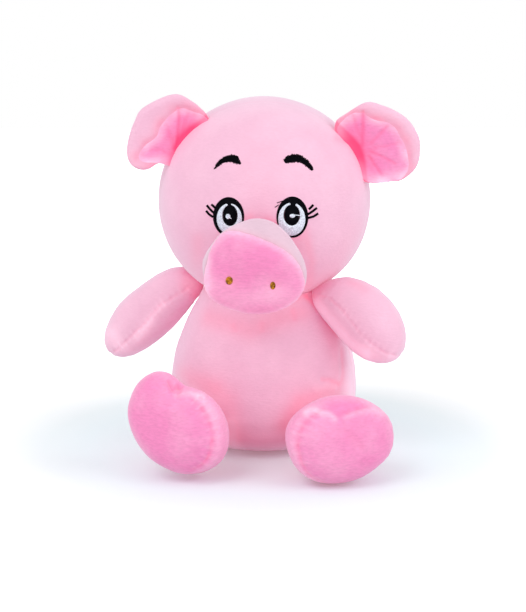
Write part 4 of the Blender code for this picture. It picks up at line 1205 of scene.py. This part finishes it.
def leg_frame(side):
    joint = JOINTS["leg_" + side + "_swing"]
    hinge = Vector(joint["axis"])
    ahead = Vector((0.0, 0.0, -1.0)).cross(hinge)
    if ahead.y > 0.0:
        hinge, ahead = -hinge, -ahead
    return frame_of((hinge, ahead.cross(hinge), ahead), joint["pos_m"]), ahead


def along_leg(shares, reach):
    """A pair of shares of a leg's reach, as lengths."""
    return reach * shares[0], reach * shares[1]


class PLUSHPIG_OT_legs(bpy.types.Operator):
    """Model the short legs and the deep pink feet, pillows on their heels"""
    bl_idname = "plushpig.legs"
    bl_label = "Legs and feet"

    def execute(self, context):
        for side in ("left", "right"):
            turn, ahead = leg_frame(side)
            outline = smooth_outline(FOOT_OUTLINES[side], OUTLINE_POINTS)
            outline[:, 1] -= turn.translation.z
            middle = (outline.min(axis=0) + outline.max(axis=0)) / 2
            self.foot(side, turn, outline, middle)
            self.leg(side, turn, ahead, middle)
        return {"FINISHED"}

    def foot(self, side, turn, outline, middle):
        reach = LEG_REACH[side]
        drop = outline[:, 1].min() + turn.translation.z - FOOT_SINK
        table = [(reach * along, share) for along, share in FOOT_STATIONS]
        made = outlined("foot_cover_" + side, outline, middle, table, FOOT_SIDES)
        co = places(made)
        co[:, 1] -= drop * ramp(co[:, 2], *along_leg(FOOT_LEVELLING, reach))
        put(made, co)
        even_squares(made, LIMB_SQUARES, LIMB_RELAXING)
        co = places(made)
        off_seam = (outline_share(co[:, :2], outline, middle)[0] - SOLE_SHARE[side]) * FOOT_REACH
        sewn = FOOT_SEWN_SHARE * fade(off_seam, FOOT_SEWN_WIDTH) * (co[:, 2] > reach * FOOT_SEWN_FROM)
        inflate(made, FOOT_SWELL, FOOT_GROWTH, sewn)
        subdivide_surface(made, 2)
        co = places(made)
        share, angle = outline_share(co[:, :2], outline, middle)
        off_seam = (share - SOLE_SHARE[side]) * FOOT_REACH
        front = ramp(co[:, 2], *along_leg(FOOT_FRONT, reach))
        shown = np.where(np.cos(angle) > 0.0, *FOOT_SEAM_SHARES[side])
        front *= shown * ramp(np.abs(np.cos(angle)), *FOOT_SEAM_SLANT)
        ridge = fade(off_seam - FOOT_RIDGE_OFFSET, FOOT_RIDGE_WIDTH) * front
        groove = sewn_groove(off_seam, FOOT_GROOVE_WIDTH, co, FOOT_UNEVENNESS, 41) * front
        drift = PUCKER_DRIFT * wander(co, PUCKER_DRIFT_WAVE, 43)
        puckers = fade(off_seam, PUCKER_REACH) * front * np.sin(angle * FOOT_PUCKERS + drift)
        push(made, lumps(co, FOOT_LUMPS) - FOOT_GROOVE * groove + FOOT_PUCKER * puckers)
        # Painted shade: red in the seam's groove and at the back, where the foot goes under the leg; painted
        # highlight on the ridge beside the seam, the tops of the puckers and the rim.
        hidden = 1.0 - ramp(co[:, 2], *along_leg(FOOT_HIDDEN, reach))
        write_attribute(made, "crease", 0.17 * groove + 0.3 * hidden)
        edge = ramp(share, *FOOT_PALE_EDGE)
        write_attribute(made, "pale", 0.16 * ridge + 0.12 * np.maximum(puckers, 0.0) + 0.10 * edge)
        settle(made, turn)
        sculpt(made, FOOT_FOLDS[side])
        finish_padded(made, deep_velboa())
        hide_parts("foot_upper_" + side, "foot_sole_" + side)
        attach(made, "leg_" + side)

    def leg(self, side, turn, ahead, middle):
        stations = [
            (LEG_REACH[side] * along, wide * MM, high * MM, 0.0, rise * middle[1])
            for along, wide, high, rise in LEG_STATIONS
        ]
        made = loft("leg_cover_soft_" + side, stations, LEG_SIDES)
        even_squares(made, LIMB_SQUARES, LIMB_RELAXING)
        subdivide_surface(made, 1)
        co = places(made)
        push(made, lumps(co, LEG_LUMPS))
        # Painted shade over the whole leg.
        write_attribute(made, "crease", np.full(len(co), LEG_PAINTED_SHADE))
        settle(made, turn)
        finish_padded(made, pale_velboa())
        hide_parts("leg_cover_" + side, "leg_stuffing_" + side)
        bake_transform(made)


# Ears

# Outlines of the ears in mm: down along the head, out from it
EAR_OUTLINES = {
    "right": (
        (-16.9, -5.2), (-17.9, 2.1), (-17.7, 8.0), (-16.9, 13.4), (-13.4, 16.7), (-7.1, 20.2), (1.0, 23.3),
        (5.5, 22.0), (10.6, 21.0), (15.6, 19.2), (20.2, 16.8), (23.2, 13.9), (24.3, 9.6), (22.7, 4.9),
        (20.3, 2.5), (17.2, 1.5), (15.0, 0.2), (14.4, -2.4), (12.3, -5.6), (8.0, -8.6), (-2.0, -9.4),
        (-13.0, -8.4),
    ),
    "left": (
        (-18.3, -2.0), (-18.4, 1.7), (-18.7, 6.4), (-19.2, 12.0), (-19.0, 14.7), (-18.1, 17.0),
        (-16.5, 18.9), (-14.3, 20.5), (-11.4, 23.4), (-7.1, 26.2), (-2.7, 28.3), (3.0, 29.3), (8.1, 29.3),
        (11.3, 28.1), (16.4, 25.3), (19.0, 23.0), (21.0, 19.5), (21.8, 14.8), (22.1, 11.2), (20.0, 7.8),
        (18.5, 2.2), (16.5, -2.4), (13.0, -6.4), (0.0, -6.0), (-13.0, -6.4),
    ),
}
EAR_CREASES = {
    "right": ((-16.9, -3.6), (-14.4, -3.8), (-6.7, -2.6), (1.7, -2.4), (5.5, -2.2), (12.3, -3.6)),
    "left": ((-18.3, -2.0), (-15.5, -1.4), (-9.0, -0.1), (-1.6, 1.4), (2.3, 0.6), (7.6, -0.6),
             (15.7, -3.3)),
}
EAR_LININGS = {
    "right": (
        (-15.3, -5.6), (-15.2, 0.0), (-14.1, 4.3), (-13.2, 7.9), (-11.7, 9.3), (-6.5, 10.8), (-2.5, 11.1),
        (1.8, 11.2), (4.4, 9.6), (7.8, 9.6), (9.7, 11.1), (13.7, 11.9), (17.5, 11.9), (19.8, 11.0),
        (20.2, 8.6), (18.7, 5.0), (16.2, 2.2), (14.5, 0.1), (14.0, -3.0), (11.0, -7.0), (-12.0, -7.4),
    ),
    "left": (
        (-15.5, -1.4), (-16.7, 4.2), (-16.8, 7.8), (-16.3, 10.4), (-14.9, 12.4), (-11.8, 13.5),
        (-8.8, 16.0), (-6.5, 19.7), (-3.5, 21.5), (-0.3, 22.5), (2.8, 21.8), (6.6, 22.5), (9.9, 22.1),
        (12.9, 21.2), (17.4, 19.7), (19.4, 16.9), (21.2, 12.4), (19.8, 8.6), (18.3, 4.1), (16.8, -0.4),
        (13.0, -4.8), (-12.0, -4.6),
    ),
}
# Pleats of the linings, that run out from the crease, with painted shade in them
EAR_PLEATS = {
    "right": (
        (((178, 104), (179, 120), (178, 138), (176, 156)), 0.9, 0.6, 0.32, 0.0),
        (((190, 110), (184, 126), (181, 142)), 1.0, 0.4, 0.14, 0.0),
        (((165, 122), (170, 136), (175, 152)), 1.0, 0.4, 0.12, 0.0),
        (((148, 150), (160, 150), (174, 156)), 1.0, 0.4, 0.12, 0.0),
    ),
    "left": (
        (((363, 108), (363, 124), (362, 140), (363, 149)), 0.9, 0.6, 0.30, 0.0),
        (((390, 124), (380, 134), (368, 147)), 0.9, 0.5, 0.20, 0.0),
        (((366, 150), (382, 157), (399, 166)), 0.9, 0.5, 0.20, 0.0),
        (((367, 154), (375, 166), (383, 177)), 0.9, 0.5, 0.22, 0.0),
        (((352, 112), (356, 126), (361, 140)), 1.0, 0.4, 0.14, 0.0),
        (((404, 142), (388, 146), (370, 149)), 1.0, 0.4, 0.12, 0.0),
    ),
}
EAR_MIDDLE = {"right": (2.5, 6.5), "left": (1.5, 11.5)}
EAR_COVER = (
    (-2.9, 0.15), (-3.0, 0.5), (-2.8, 0.8), (-1.9, 0.94), (-0.4, 1.0), (0.9, 0.995), (2.0, 0.95),
    (2.6, 0.86), (2.7, 0.6), (2.7, 0.15),
)
EAR_LINING = (
    (1.0, 0.15), (1.0, 0.85), (1.3, 0.97), (2.0, 1.0), (2.5, 0.97), (2.8, 0.89), (2.95, 0.7), (3.0, 0.15),
)
# Width in mm of the painted shade, deep red, along the head, and how strong it is
EAR_WEDGE = {"right": (2.7, 0.95), "left": (1.5, 0.80)}
EAR_SIDES = 64
EAR_SQUARES = 0.9 * MM
EAR_RELAXING = 2
EAR_LINING_SPREAD = 1.04
EAR_FRONT = 0.5 * MM
EAR_HOLLOW = 1.7 * MM
EAR_HOLLOW_EDGE = (-2.5 * MM, 3.0 * MM)
EAR_CUP = 3.0 * MM
EAR_CUP_REACH = 20.0 * MM
EAR_LUMPS = ((0.25 * MM, 13.0 * MM, 51),)
EAR_ROOT_SHADE = 7.0 * MM
EAR_HOLLOW_SHADE_REACH = 3.5 * MM
EAR_UNEVEN_WAVE = 7.0 * MM
EAR_PALE_EDGE = (6.0 * MM, 0.0)


def ear_frame(side, sign):
    joint = JOINTS["ear_" + side + "_flop"]
    origin = Vector(joint["pos_m"])
    out = (origin - HEAD_CENTRE).normalized()
    down = Vector((abs(joint["axis"][0]) * sign, 0.0, -abs(joint["axis"][2])))
    front = (down * sign).cross(out)
    return frame_of((down * sign, out, front), origin), out


class PLUSHPIG_OT_ears(bpy.types.Operator):
    """Model both ears, a rolled pale rim round a deep pink lining"""
    bl_idname = "plushpig.ears"
    bl_label = "Ears"

    def execute(self, context):
        for side, sign in (("left", 1.0), ("right", -1.0)):
            turn, out = ear_frame(side, sign)
            middle = np.array(EAR_MIDDLE[side]) * MM
            lining = smooth_outline(EAR_LININGS[side], OUTLINE_POINTS)
            for name, outline, table, finish, slot, replaced in (
                ("ear_cover_", smooth_outline(EAR_OUTLINES[side], OUTLINE_POINTS), EAR_COVER,
                 pale_velboa(), "pale_pink_plush", "ear_outer_"),
                ("ear_lining_cover_", middle + (lining - middle) * EAR_LINING_SPREAD, EAR_LINING,
                 deep_velboa(), "deep_pink_plush", "ear_lining_"),
            ):
                table = [(z * MM, share) for z, share in table]
                made = outlined(name + side, outline, middle, table, EAR_SIDES)
                even_squares(made, EAR_SQUARES, EAR_RELAXING)
                subdivide_surface(made, 1)
                co = places(made)
                flat = co[:, :2].copy()
                front = co[:, 2] > EAR_FRONT
                depth = depth_inside(flat, lining)
                lowered = EAR_HOLLOW * ramp(depth, *EAR_HOLLOW_EDGE)
                co[:, 2] += lumps(co, EAR_LUMPS) - lowered * front
                co[:, 2] += EAR_CUP * (co[:, 0] / EAR_CUP_REACH) ** 2
                line = np.array(EAR_CREASES[side]) * MM
                root, along = line_distance(flat, line)
                below = np.interp(flat[:, 0], *line.T)
                root = np.where(flat[:, 1] < below, 0.0, root)
                # Painted shade: deep red along the head where the ear leaves it, and a wider soft shade at
                # its root, strongest midway along the crease.
                deepest = 0.45 + 0.55 * ramp(np.minimum(along, 1.0 - along), 0.08, 0.42)
                wedge, strength = EAR_WEDGE[side]
                crease = strength * fade(root, wedge * MM * deepest) + 0.24 * fade(root, EAR_ROOT_SHADE)
                crease *= deepest
                # Painted shade in the hollow of the cover, just outside the lining.
                hollow_shade = fade(np.minimum(depth, 0.0), EAR_HOLLOW_SHADE_REACH) * front
                uneven = 1.0 + 0.5 * wander(co, EAR_UNEVEN_WAVE, 53)
                if finish == deep_velboa():
                    write_attribute(made, "crease", crease)
                    write_attribute(made, "pale", 0.42 * ramp(depth, *EAR_PALE_EDGE) * uneven)
                else:
                    write_attribute(made, "crease", crease + 0.17 * hollow_shade * uneven)
                co[:, 0] *= sign
                put(made, co)
                face_outwards(made)
                settle(made, turn)
                sculpt(made, EAR_PLEATS[side])
                finish_padded(made, finish)
                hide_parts(replaced + side)
                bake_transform(made)
        return {"FINISHED"}


# Tail

TAIL_POINTS = 40
TAIL_REACH = 14.5 * MM
TAIL_ROOT_SINK = 1.0 * MM
TAIL_CURL_RADIUS = 4.0 * MM
TAIL_CURL_START = 0.2
TAIL_TURNS = 1.2
TAIL_RADIUS = 2.6 * MM
TAIL_SQUARES = 0.9 * MM
TAIL_RELAXING = 3
TAIL_ROOT_SHADE = 4.0 * MM


class PLUSHPIG_OT_tail(bpy.types.Operator):
    """Model the small curled tail"""
    bl_idname = "plushpig.tail"
    bl_label = "Tail"

    def execute(self, context):
        joint = JOINTS["tail_flick"]
        origin = Vector(joint["pos_m"])
        bpy.ops.object.select_all(action="DESELECT")
        bpy.ops.curve.primitive_nurbs_path_add(location=(0.0, 0.0, 0.0))
        made = bpy.context.object
        made.data.splines.remove(made.data.splines[0])
        spline = made.data.splines.new("POLY")
        spline.points.add(TAIL_POINTS - 1)
        for index, point in enumerate(spline.points):
            share = index / (TAIL_POINTS - 1)
            curled = max(0.0, share - TAIL_CURL_START) / (1.0 - TAIL_CURL_START)
            angle = math.tau * TAIL_TURNS * curled
            point.co = (TAIL_CURL_RADIUS * math.sin(angle), TAIL_REACH * share - TAIL_ROOT_SINK,
                        -TAIL_CURL_RADIUS * (1.0 - math.cos(angle)), 1.0)
            point.radius = min(1.0, 0.7 + share * 3.0) * (1.0 - 0.4 * curled ** 2)
        made.data.bevel_depth = TAIL_RADIUS
        made.data.bevel_resolution = 6
        made.data.use_fill_caps = True
        only(made)
        bpy.ops.object.convert(target="MESH")
        made = named("tail_cover")
        even_squares(made, TAIL_SQUARES, TAIL_RELAXING)
        subdivide_surface(made, 1)
        co = places(made)
        # Painted shade: red at the root, where the tail leaves the body.
        write_attribute(made, "crease", 0.3 * (1.0 - ramp(co[:, 1], 0.0, TAIL_ROOT_SHADE)))
        settle(made, Matrix.Translation(origin))
        finish_padded(made, pale_velboa())
        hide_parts("tail")
        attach(made, "tail")
        return {"FINISHED"}


# Embroidery

# Ellipses of the eyes in the photograph's pixels: middle, half sizes; angles in degrees, anticlockwise
EYES = {
    "left": {
        "rim": (292.4, 217.1, 15.9, 20.6), "white": (291.6, 219.4, 14.0, 16.8),
        "pupil": (291.8, 215.0, 8.7, 10.9), "open": (98.0, 430.0), "rim_span": (-100.0, 200.0),
        "highlight": (292.2, 215.7, 2.7, 1.7), "tail": ((294.4, 214.8), (300.4, 215.4)),
    },
    "right": {
        "rim": (228.6, 216.7, 15.6, 19.6), "white": (229.4, 218.8, 13.0, 15.5),
        "pupil": (230.1, 215.4, 8.1, 10.9), "open": (102.0, 441.0), "rim_span": (-35.0, 240.0),
        "highlight": (228.2, 216.2, 2.4, 2.3), "tail": ((229.3, 217.2), (231.4, 218.4)),
    },
}
LOOSE_ENDS = {
    "left": (((283.2, 200.8), (276.8, 203.0)), ((278.8, 204.8), (274.8, 207.4))),
    "right": (),
}
LASHES = {
    "left": {
        "upper": ((309.0, 209.3), (313.2, 205.0)),
        "middle": ((307.9, 214.3), (312.4, 211.4), (316.8, 208.0)),
        "lower": ((308.0, 218.0), (313.5, 216.5), (318.0, 213.5)),
    },
    "right": {
        "upper": ((211.5, 204.5), (216.2, 208.6)),
        "middle": ((206.9, 205.4), (210.2, 209.4), (214.2, 213.3)),
        "lower": ((206.3, 210.9), (209.0, 214.2), (212.9, 216.9)),
    },
}
# Edges of the brows in the photograph's pixels, from the tail to the blunt end
BROWS = {
    "left": {
        "upper": ((312.9, 169.5), (311.1, 165.0), (307.4, 160.2), (302.6, 156.5), (297.7, 154.7),
                  (291.7, 154.7), (287.4, 156.2), (283.8, 159.5)),
        "lower": ((311.7, 170.5), (307.4, 167.4), (303.8, 164.4), (299.5, 162.3), (295.3, 162.0),
                  (291.7, 162.6), (286.2, 163.2), (284.6, 161.9)),
    },
    "right": {
        "upper": ((214.1, 168.9), (216.6, 163.8), (220.1, 159.8), (224.7, 156.6), (229.9, 154.9),
                  (234.4, 155.2), (237.3, 156.3), (239.6, 159.8), (241.0, 162.9)),
        "lower": ((214.3, 169.2), (218.9, 165.8), (223.0, 162.9), (227.6, 161.8), (231.0, 161.8),
                  (234.4, 163.2), (237.9, 164.1), (240.2, 164.4)),
    },
}
NOSTRILS = {"left": (272.8, 285.6, 2.8, 3.9), "right": (229.2, 280.6, 3.8, 4.2)}


def surface_of(name):
    cover = bpy.data.objects[name]
    return BVHTree.FromPolygons(
        [vertex.co.copy() for vertex in cover.data.vertices],
        [tuple(polygon.vertices) for polygon in cover.data.polygons],
    )


def on_surface(place, rise, surface):
    """Where a pixel of the photograph falls on a surface, raised from it."""
    ray = Vector((1.0, 0.0, 0.0)) * (place.x - PHOTO_WIDTH / 2) + UPWARDS * (PHOTO_HEIGHT / 2 - place.y)
    hit, out = surface.ray_cast(CAMERA_PLACE, (ray - TO_CAMERA * FOCAL).normalized())[:2]
    return hit + out * rise


def stitch_template():
    """One stitch a unit long along X and a unit wide, its ends sunk: a six-sided rod, cut and rounded."""
    bpy.ops.object.select_all(action="DESELECT")
    bpy.ops.mesh.primitive_cylinder_add(
        vertices=6, radius=0.5, depth=1.0, location=(0.0, 0.0, 0.0), rotation=(0.0, math.pi / 2, 0.0),
    )
    rod = named("stitch")
    bpy.ops.object.transform_apply(location=True, rotation=True, scale=True)
    bpy.ops.object.mode_set(mode="EDIT")
    for cut in range(1, 6):
        bpy.ops.mesh.select_all(action="SELECT")
        bpy.ops.mesh.bisect(plane_co=(cut / 6 - 0.5, 0.0, 0.0), plane_no=(1.0, 0.0, 0.0))
    bpy.ops.mesh.select_all(action="SELECT")
    bpy.ops.mesh.quads_convert_to_tris()
    bpy.ops.object.mode_set(mode="OBJECT")
    co = places(rod) + np.array((0.5, 0.0, 0.0))
    faces = [tuple(polygon.vertices) for polygon in rod.data.polygons]
    bpy.data.objects.remove(rod)
    return co, faces


def stitches(name, runs, surface, width, height, lift=0.0):
    """A patch of satin stitch: each run goes from a pixel to a pixel, laid over the surface."""
    template, faces = stitch_template()
    every = []
    patch = []
    for first, second in runs:
        base = len(every)
        first = Vector(first)
        second = Vector(second)
        along = second - first
        aside = Vector((-along.y, along.x)).normalized() * width
        for along_share, side_share, rise_share in template:
            place = first + along * float(along_share) + aside * float(side_share)
            arch = math.sqrt(max(0.0, 1.0 - (2.0 * float(along_share) - 1.0) ** 2))
            rise = lift + height * (arch * 0.75 + 0.25) * (float(rise_share) + 0.25) - height * 0.1
            every.append(on_surface(place, rise, surface))
        patch += [tuple(base + index for index in face) for face in faces]
    mesh = bpy.data.meshes.new(name)
    mesh.from_pydata(every, [], patch)
    made = bpy.data.objects.new(name, mesh)
    bpy.context.scene.collection.objects.link(made)
    face_outwards(made)
    smooth_shading(made)
    return made


def sewn_on(made, material, replaced):
    dress(made, material)
    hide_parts(replaced)
    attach(made, "head")


def ring_runs(inner, outer, start, end, count):
    """Runs across a ring, from its inner to its outer ellipse."""
    runs = []
    for index in range(count):
        angle = math.radians(start + (end - start) * (index + 0.5) / count)
        runs.append(tuple(
            (u + half_u * math.cos(angle), v - half_v * math.sin(angle))
            for u, v, half_u, half_v in (inner, outer)
        ))
    return runs


def line_runs(line, offsets):
    """Runs along a line through pixels, laid side by side."""
    runs = []
    for first, second in zip(line[:-1], line[1:]):
        along = (Vector(second) - Vector(first)).normalized()
        aside = Vector((-along.y, along.x))
        for offset in offsets:
            runs.append((Vector(first) - along * 0.3 + aside * offset,
                         Vector(second) + along * 0.3 + aside * offset))
    return runs


class PLUSHPIG_OT_eyes(bpy.types.Operator):
    """Stitch the eyes: a black rim and pupil, a white horseshoe and a highlight"""
    bl_idname = "plushpig.eyes"
    bl_label = "Eyes"

    def execute(self, context):
        surface = surface_of("head_cover")
        thread = sizes().thread / MM * PIXELS_PER_MM
        black = rayon("black rayon", colours().black_thread, 0.02)
        white = rayon("white rayon", colours().white_thread)
        for side, eye in EYES.items():
            pupil_u, pupil_v, pupil_half_u, pupil_half_v = eye["pupil"]
            white_u, white_v, white_half_u, white_half_v = eye["white"]
            inner = (white_u, white_v, white_half_u - 0.6, white_half_v - 0.6)
            open_end, open_start = eye["open"]
            runs = ring_runs((pupil_u, pupil_v, 0.0, 0.0), eye["pupil"], 0.0, 360.0, 64)
            runs += ring_runs(inner, eye["rim"], *eye["rim_span"], 110)
            runs += ring_runs((pupil_u, pupil_v, pupil_half_u - 2.0, pupil_half_v - 2.0), eye["rim"],
                              open_start - 360.0 - 4.0, open_end + 4.0, 18)
            runs += LOOSE_ENDS[side]
            made = stitches("eye_black_thread_" + side, runs, surface, thread, 0.55 * MM)
            sewn_on(made, black, "eye_black_" + side)
            inner = (pupil_u, pupil_v, pupil_half_u - 0.5, pupil_half_v - 0.5)
            runs = ring_runs(inner, eye["white"], open_end, open_start, 110)
            made = stitches("eye_white_thread_" + side, runs, surface, thread, 0.6 * MM)
            sewn_on(made, white, "eye_white_" + side)
            spot_u, spot_v, spot_half_u, spot_half_v = eye["highlight"]
            runs = []
            for rise in (-0.85, -0.55, -0.25, 0.05, 0.35, 0.65, 0.9):
                half = spot_half_u * math.sqrt(1.0 - rise * rise)
                row = spot_v + spot_half_v * rise
                runs.append(((spot_u - half, row), (spot_u + half, row)))
            runs += line_runs(eye["tail"], (0.0,))
            made = stitches("eye_highlight_thread_" + side, runs, surface, thread, 0.6 * MM, 0.35 * MM)
            sewn_on(made, white, "eye_highlight_" + side)
        return {"FINISHED"}


class PLUSHPIG_OT_lashes_and_brows(bpy.types.Operator):
    """Stitch three lashes beside each eye and an arched brow above it"""
    bl_idname = "plushpig.lashes_and_brows"
    bl_label = "Lashes and brows"

    def execute(self, context):
        surface = surface_of("head_cover")
        thread = sizes().thread / MM * PIXELS_PER_MM
        black = rayon("black rayon", colours().black_thread, 0.02)
        draw = np.random.default_rng(61)
        for side in ("left", "right"):
            for name, line in LASHES[side].items():
                made = stitches("eyelash_thread_" + side + "_" + name, line_runs(line, (-0.75, 0.0, 0.75)),
                                surface, thread, 0.45 * MM)
                sewn_on(made, black, "eyelash_" + side + "_" + name)
            upper = even_line(BROWS[side]["upper"], 44)
            lower = even_line(BROWS[side]["lower"], 44)
            runs = []
            for first, second in zip(lower, upper):
                step = (second - first) / max(np.linalg.norm(second - first), 0.1)
                runs.append((first - step * draw.uniform(-0.2, 0.7), second + step * draw.uniform(-0.2, 1.0)))
            made = stitches("eyebrow_thread_" + side, runs, surface, thread, 0.6 * MM)
            sewn_on(made, black, "eyebrow_" + side)
        return {"FINISHED"}


class PLUSHPIG_OT_nostrils(bpy.types.Operator):
    """Stitch the two golden nostrils"""
    bl_idname = "plushpig.nostrils"
    bl_label = "Nostrils"

    def execute(self, context):
        surface = surface_of("snout_face_cover")
        gold = rayon("gold rayon", colours().gold_thread, shade=0.15, scale=620.0)
        for side, (u, v, half_u, half_v) in NOSTRILS.items():
            runs = ring_runs((u, v, 0.0, 0.0), (u, v, half_u, half_v), 0.0, 360.0, 22)
            made = stitches("nostril_thread_" + side, runs, surface, sizes().thread / MM * PIXELS_PER_MM,
                            0.5 * MM)
            sewn_on(made, gold, "nostril_" + side)
        return {"FINISHED"}


# Stage

class PLUSHPIG_OT_stage(bpy.types.Operator):
    """Set the white floor, the soft lamps and the camera"""
    bl_idname = "plushpig.stage"
    bl_label = "Stage"

    def execute(self, context):
        scene = context.scene
        scene.view_settings.view_transform = "Standard"
        bpy.ops.object.select_all(action="DESELECT")
        bpy.ops.mesh.primitive_plane_add(size=6.0, location=(0.0, 0.0, 0.0))
        floor = named("studio_floor")
        made = bpy.data.materials.new("white floor")
        made.use_nodes = True
        tree = made.node_tree
        shader = tree.nodes["Principled BSDF"]
        shader.inputs["Roughness"].default_value = 0.9
        shader.inputs["Specular IOR Level"].default_value = 0.1
        shader.inputs["Emission Strength"].default_value = 1.0
        place = node(tree, "ShaderNodeTexCoord", (-1100, -300))
        length = node(tree, "ShaderNodeVectorMath", (-900, -300), operation="LENGTH")
        tree.links.new(place.outputs["Object"], length.inputs[0])
        # The floor glows white for camera and glossy rays, less near the toy, so that its real shadow shows
        # there.
        far = map_range(tree, length.outputs["Value"], (-700, -300), (0.11, 0.36), (0.14, 1.0))
        # Painted: the floor's colour is cooler near the toy, so that the shadow there shows grey rather than
        # pink.
        white = node(tree, "ShaderNodeMix", (-500, 0), data_type="RGBA")
        white.inputs["A"].default_value = (0.74, 0.86, 0.89, 1.0)
        white.inputs["B"].default_value = (0.86, 0.86, 0.87, 1.0)
        tree.links.new(map_range(tree, length.outputs["Value"], (-700, 0), (0.09, 0.16), (0.0, 1.0)),
                       white.inputs["Factor"])
        tree.links.new(white.outputs["Result"], shader.inputs["Base Color"])
        path = node(tree, "ShaderNodeLightPath", (-900, -600))
        seen = node(tree, "ShaderNodeMath", (-700, -560), operation="MAXIMUM")
        tree.links.new(path.outputs["Is Camera Ray"], seen.inputs[0])
        tree.links.new(path.outputs["Is Glossy Ray"], seen.inputs[1])
        through = node(tree, "ShaderNodeMath", (-500, -560), operation="MAXIMUM")
        tree.links.new(seen.outputs[0], through.inputs[0])
        tree.links.new(path.outputs["Is Transmission Ray"], through.inputs[1])
        glow = node(tree, "ShaderNodeMath", (-300, -400), operation="MULTIPLY")
        tree.links.new(far, glow.inputs[0])
        tree.links.new(through.outputs[0], glow.inputs[1])
        tree.links.new(glow.outputs[0], shader.inputs["Emission Color"])
        floor.data.materials.append(made)

        world = bpy.data.worlds.new("white studio")
        scene.world = world
        world.use_nodes = True
        tree = world.node_tree
        sky = tree.nodes["Background"]
        sky.inputs["Color"].default_value = (1.0, 1.0, 1.0, 1.0)
        path = node(tree, "ShaderNodeLightPath", (-500, 0))
        tree.links.new(
            map_range(tree, path.outputs["Is Camera Ray"], (-250, 0), (0.0, 1.0), (0.70, 1.0)),
            sky.inputs["Strength"],
        )

        for name, lamp_place, size, power in (
            ("key_softbox", (-0.55, -0.75, 0.95), 0.7, 4.3),
            ("fill_softbox", (0.85, -0.55, 0.55), 0.7, 3.8),
            ("top_softbox", (0.0, 0.25, 1.1), 0.8, 0.7),
            ("low_softbox", (-0.75, -0.40, 0.16), 0.5, 0.65),
        ):
            bpy.ops.object.light_add(type="AREA", location=lamp_place)
            lamp = bpy.context.object
            lamp.name = name
            lamp.data.shape = "SQUARE"
            lamp.data.size = size
            lamp.data.energy = power
            aim = Vector((0.0, 0.0, 0.08)) - Vector(lamp_place)
            lamp.rotation_euler = aim.to_track_quat("-Z", "Y").to_euler()

        bpy.ops.object.camera_add(location=CAMERA_PLACE, rotation=(math.pi / 2 - CAMERA_RISE, 0.0, 0.0))
        camera = bpy.context.object
        camera.data.lens = LENS
        camera.data.sensor_width = SENSOR
        camera.data.sensor_fit = "AUTO"
        scene.camera = camera
        return {"FINISHED"}


class PLUSHPIG_PT_panel(bpy.types.Panel):
    """Lists the pieces in the order in which they are made"""
    bl_idname = "PLUSHPIG_PT_panel"
    bl_label = "Plush Pig"
    bl_space_type = "VIEW_3D"
    bl_region_type = "UI"
    bl_category = "Plush Pig"

    def draw(self, context):
        layout = self.layout
        for group in (colours(), sizes()):
            box = layout.box()
            for key in group.bl_rna.properties.keys():
                if key not in ("rna_type", "name"):
                    box.prop(group, key)
        for operator in OPERATORS:
            layout.operator(operator.bl_idname)


OPERATORS = (
    PLUSHPIG_OT_stage, PLUSHPIG_OT_head, PLUSHPIG_OT_body, PLUSHPIG_OT_snout, PLUSHPIG_OT_arms,
    PLUSHPIG_OT_legs, PLUSHPIG_OT_ears, PLUSHPIG_OT_tail, PLUSHPIG_OT_eyes,
    PLUSHPIG_OT_lashes_and_brows, PLUSHPIG_OT_nostrils,
)
CLASSES = (PLUSHPIG_PG_colours, PLUSHPIG_PG_sizes) + OPERATORS + (PLUSHPIG_PT_panel,)


def register():
    for item in CLASSES:
        bpy.utils.register_class(item)
    bpy.types.Scene.plushpig_colours = bpy.props.PointerProperty(type=PLUSHPIG_PG_colours)
    bpy.types.Scene.plushpig_sizes = bpy.props.PointerProperty(type=PLUSHPIG_PG_sizes)


def unregister():
    del bpy.types.Scene.plushpig_sizes
    del bpy.types.Scene.plushpig_colours
    for item in reversed(CLASSES):
        bpy.utils.unregister_class(item)


def main():
    register()
    bpy.ops.plushpig.stage()
    bpy.ops.plushpig.head()
    bpy.ops.plushpig.body()
    bpy.ops.plushpig.snout()
    bpy.ops.plushpig.arms()
    bpy.ops.plushpig.legs()
    bpy.ops.plushpig.ears()
    bpy.ops.plushpig.tail()
    bpy.ops.plushpig.eyes()
    bpy.ops.plushpig.lashes_and_brows()
    bpy.ops.plushpig.nostrils()


if __name__ == "__main__":
    main()
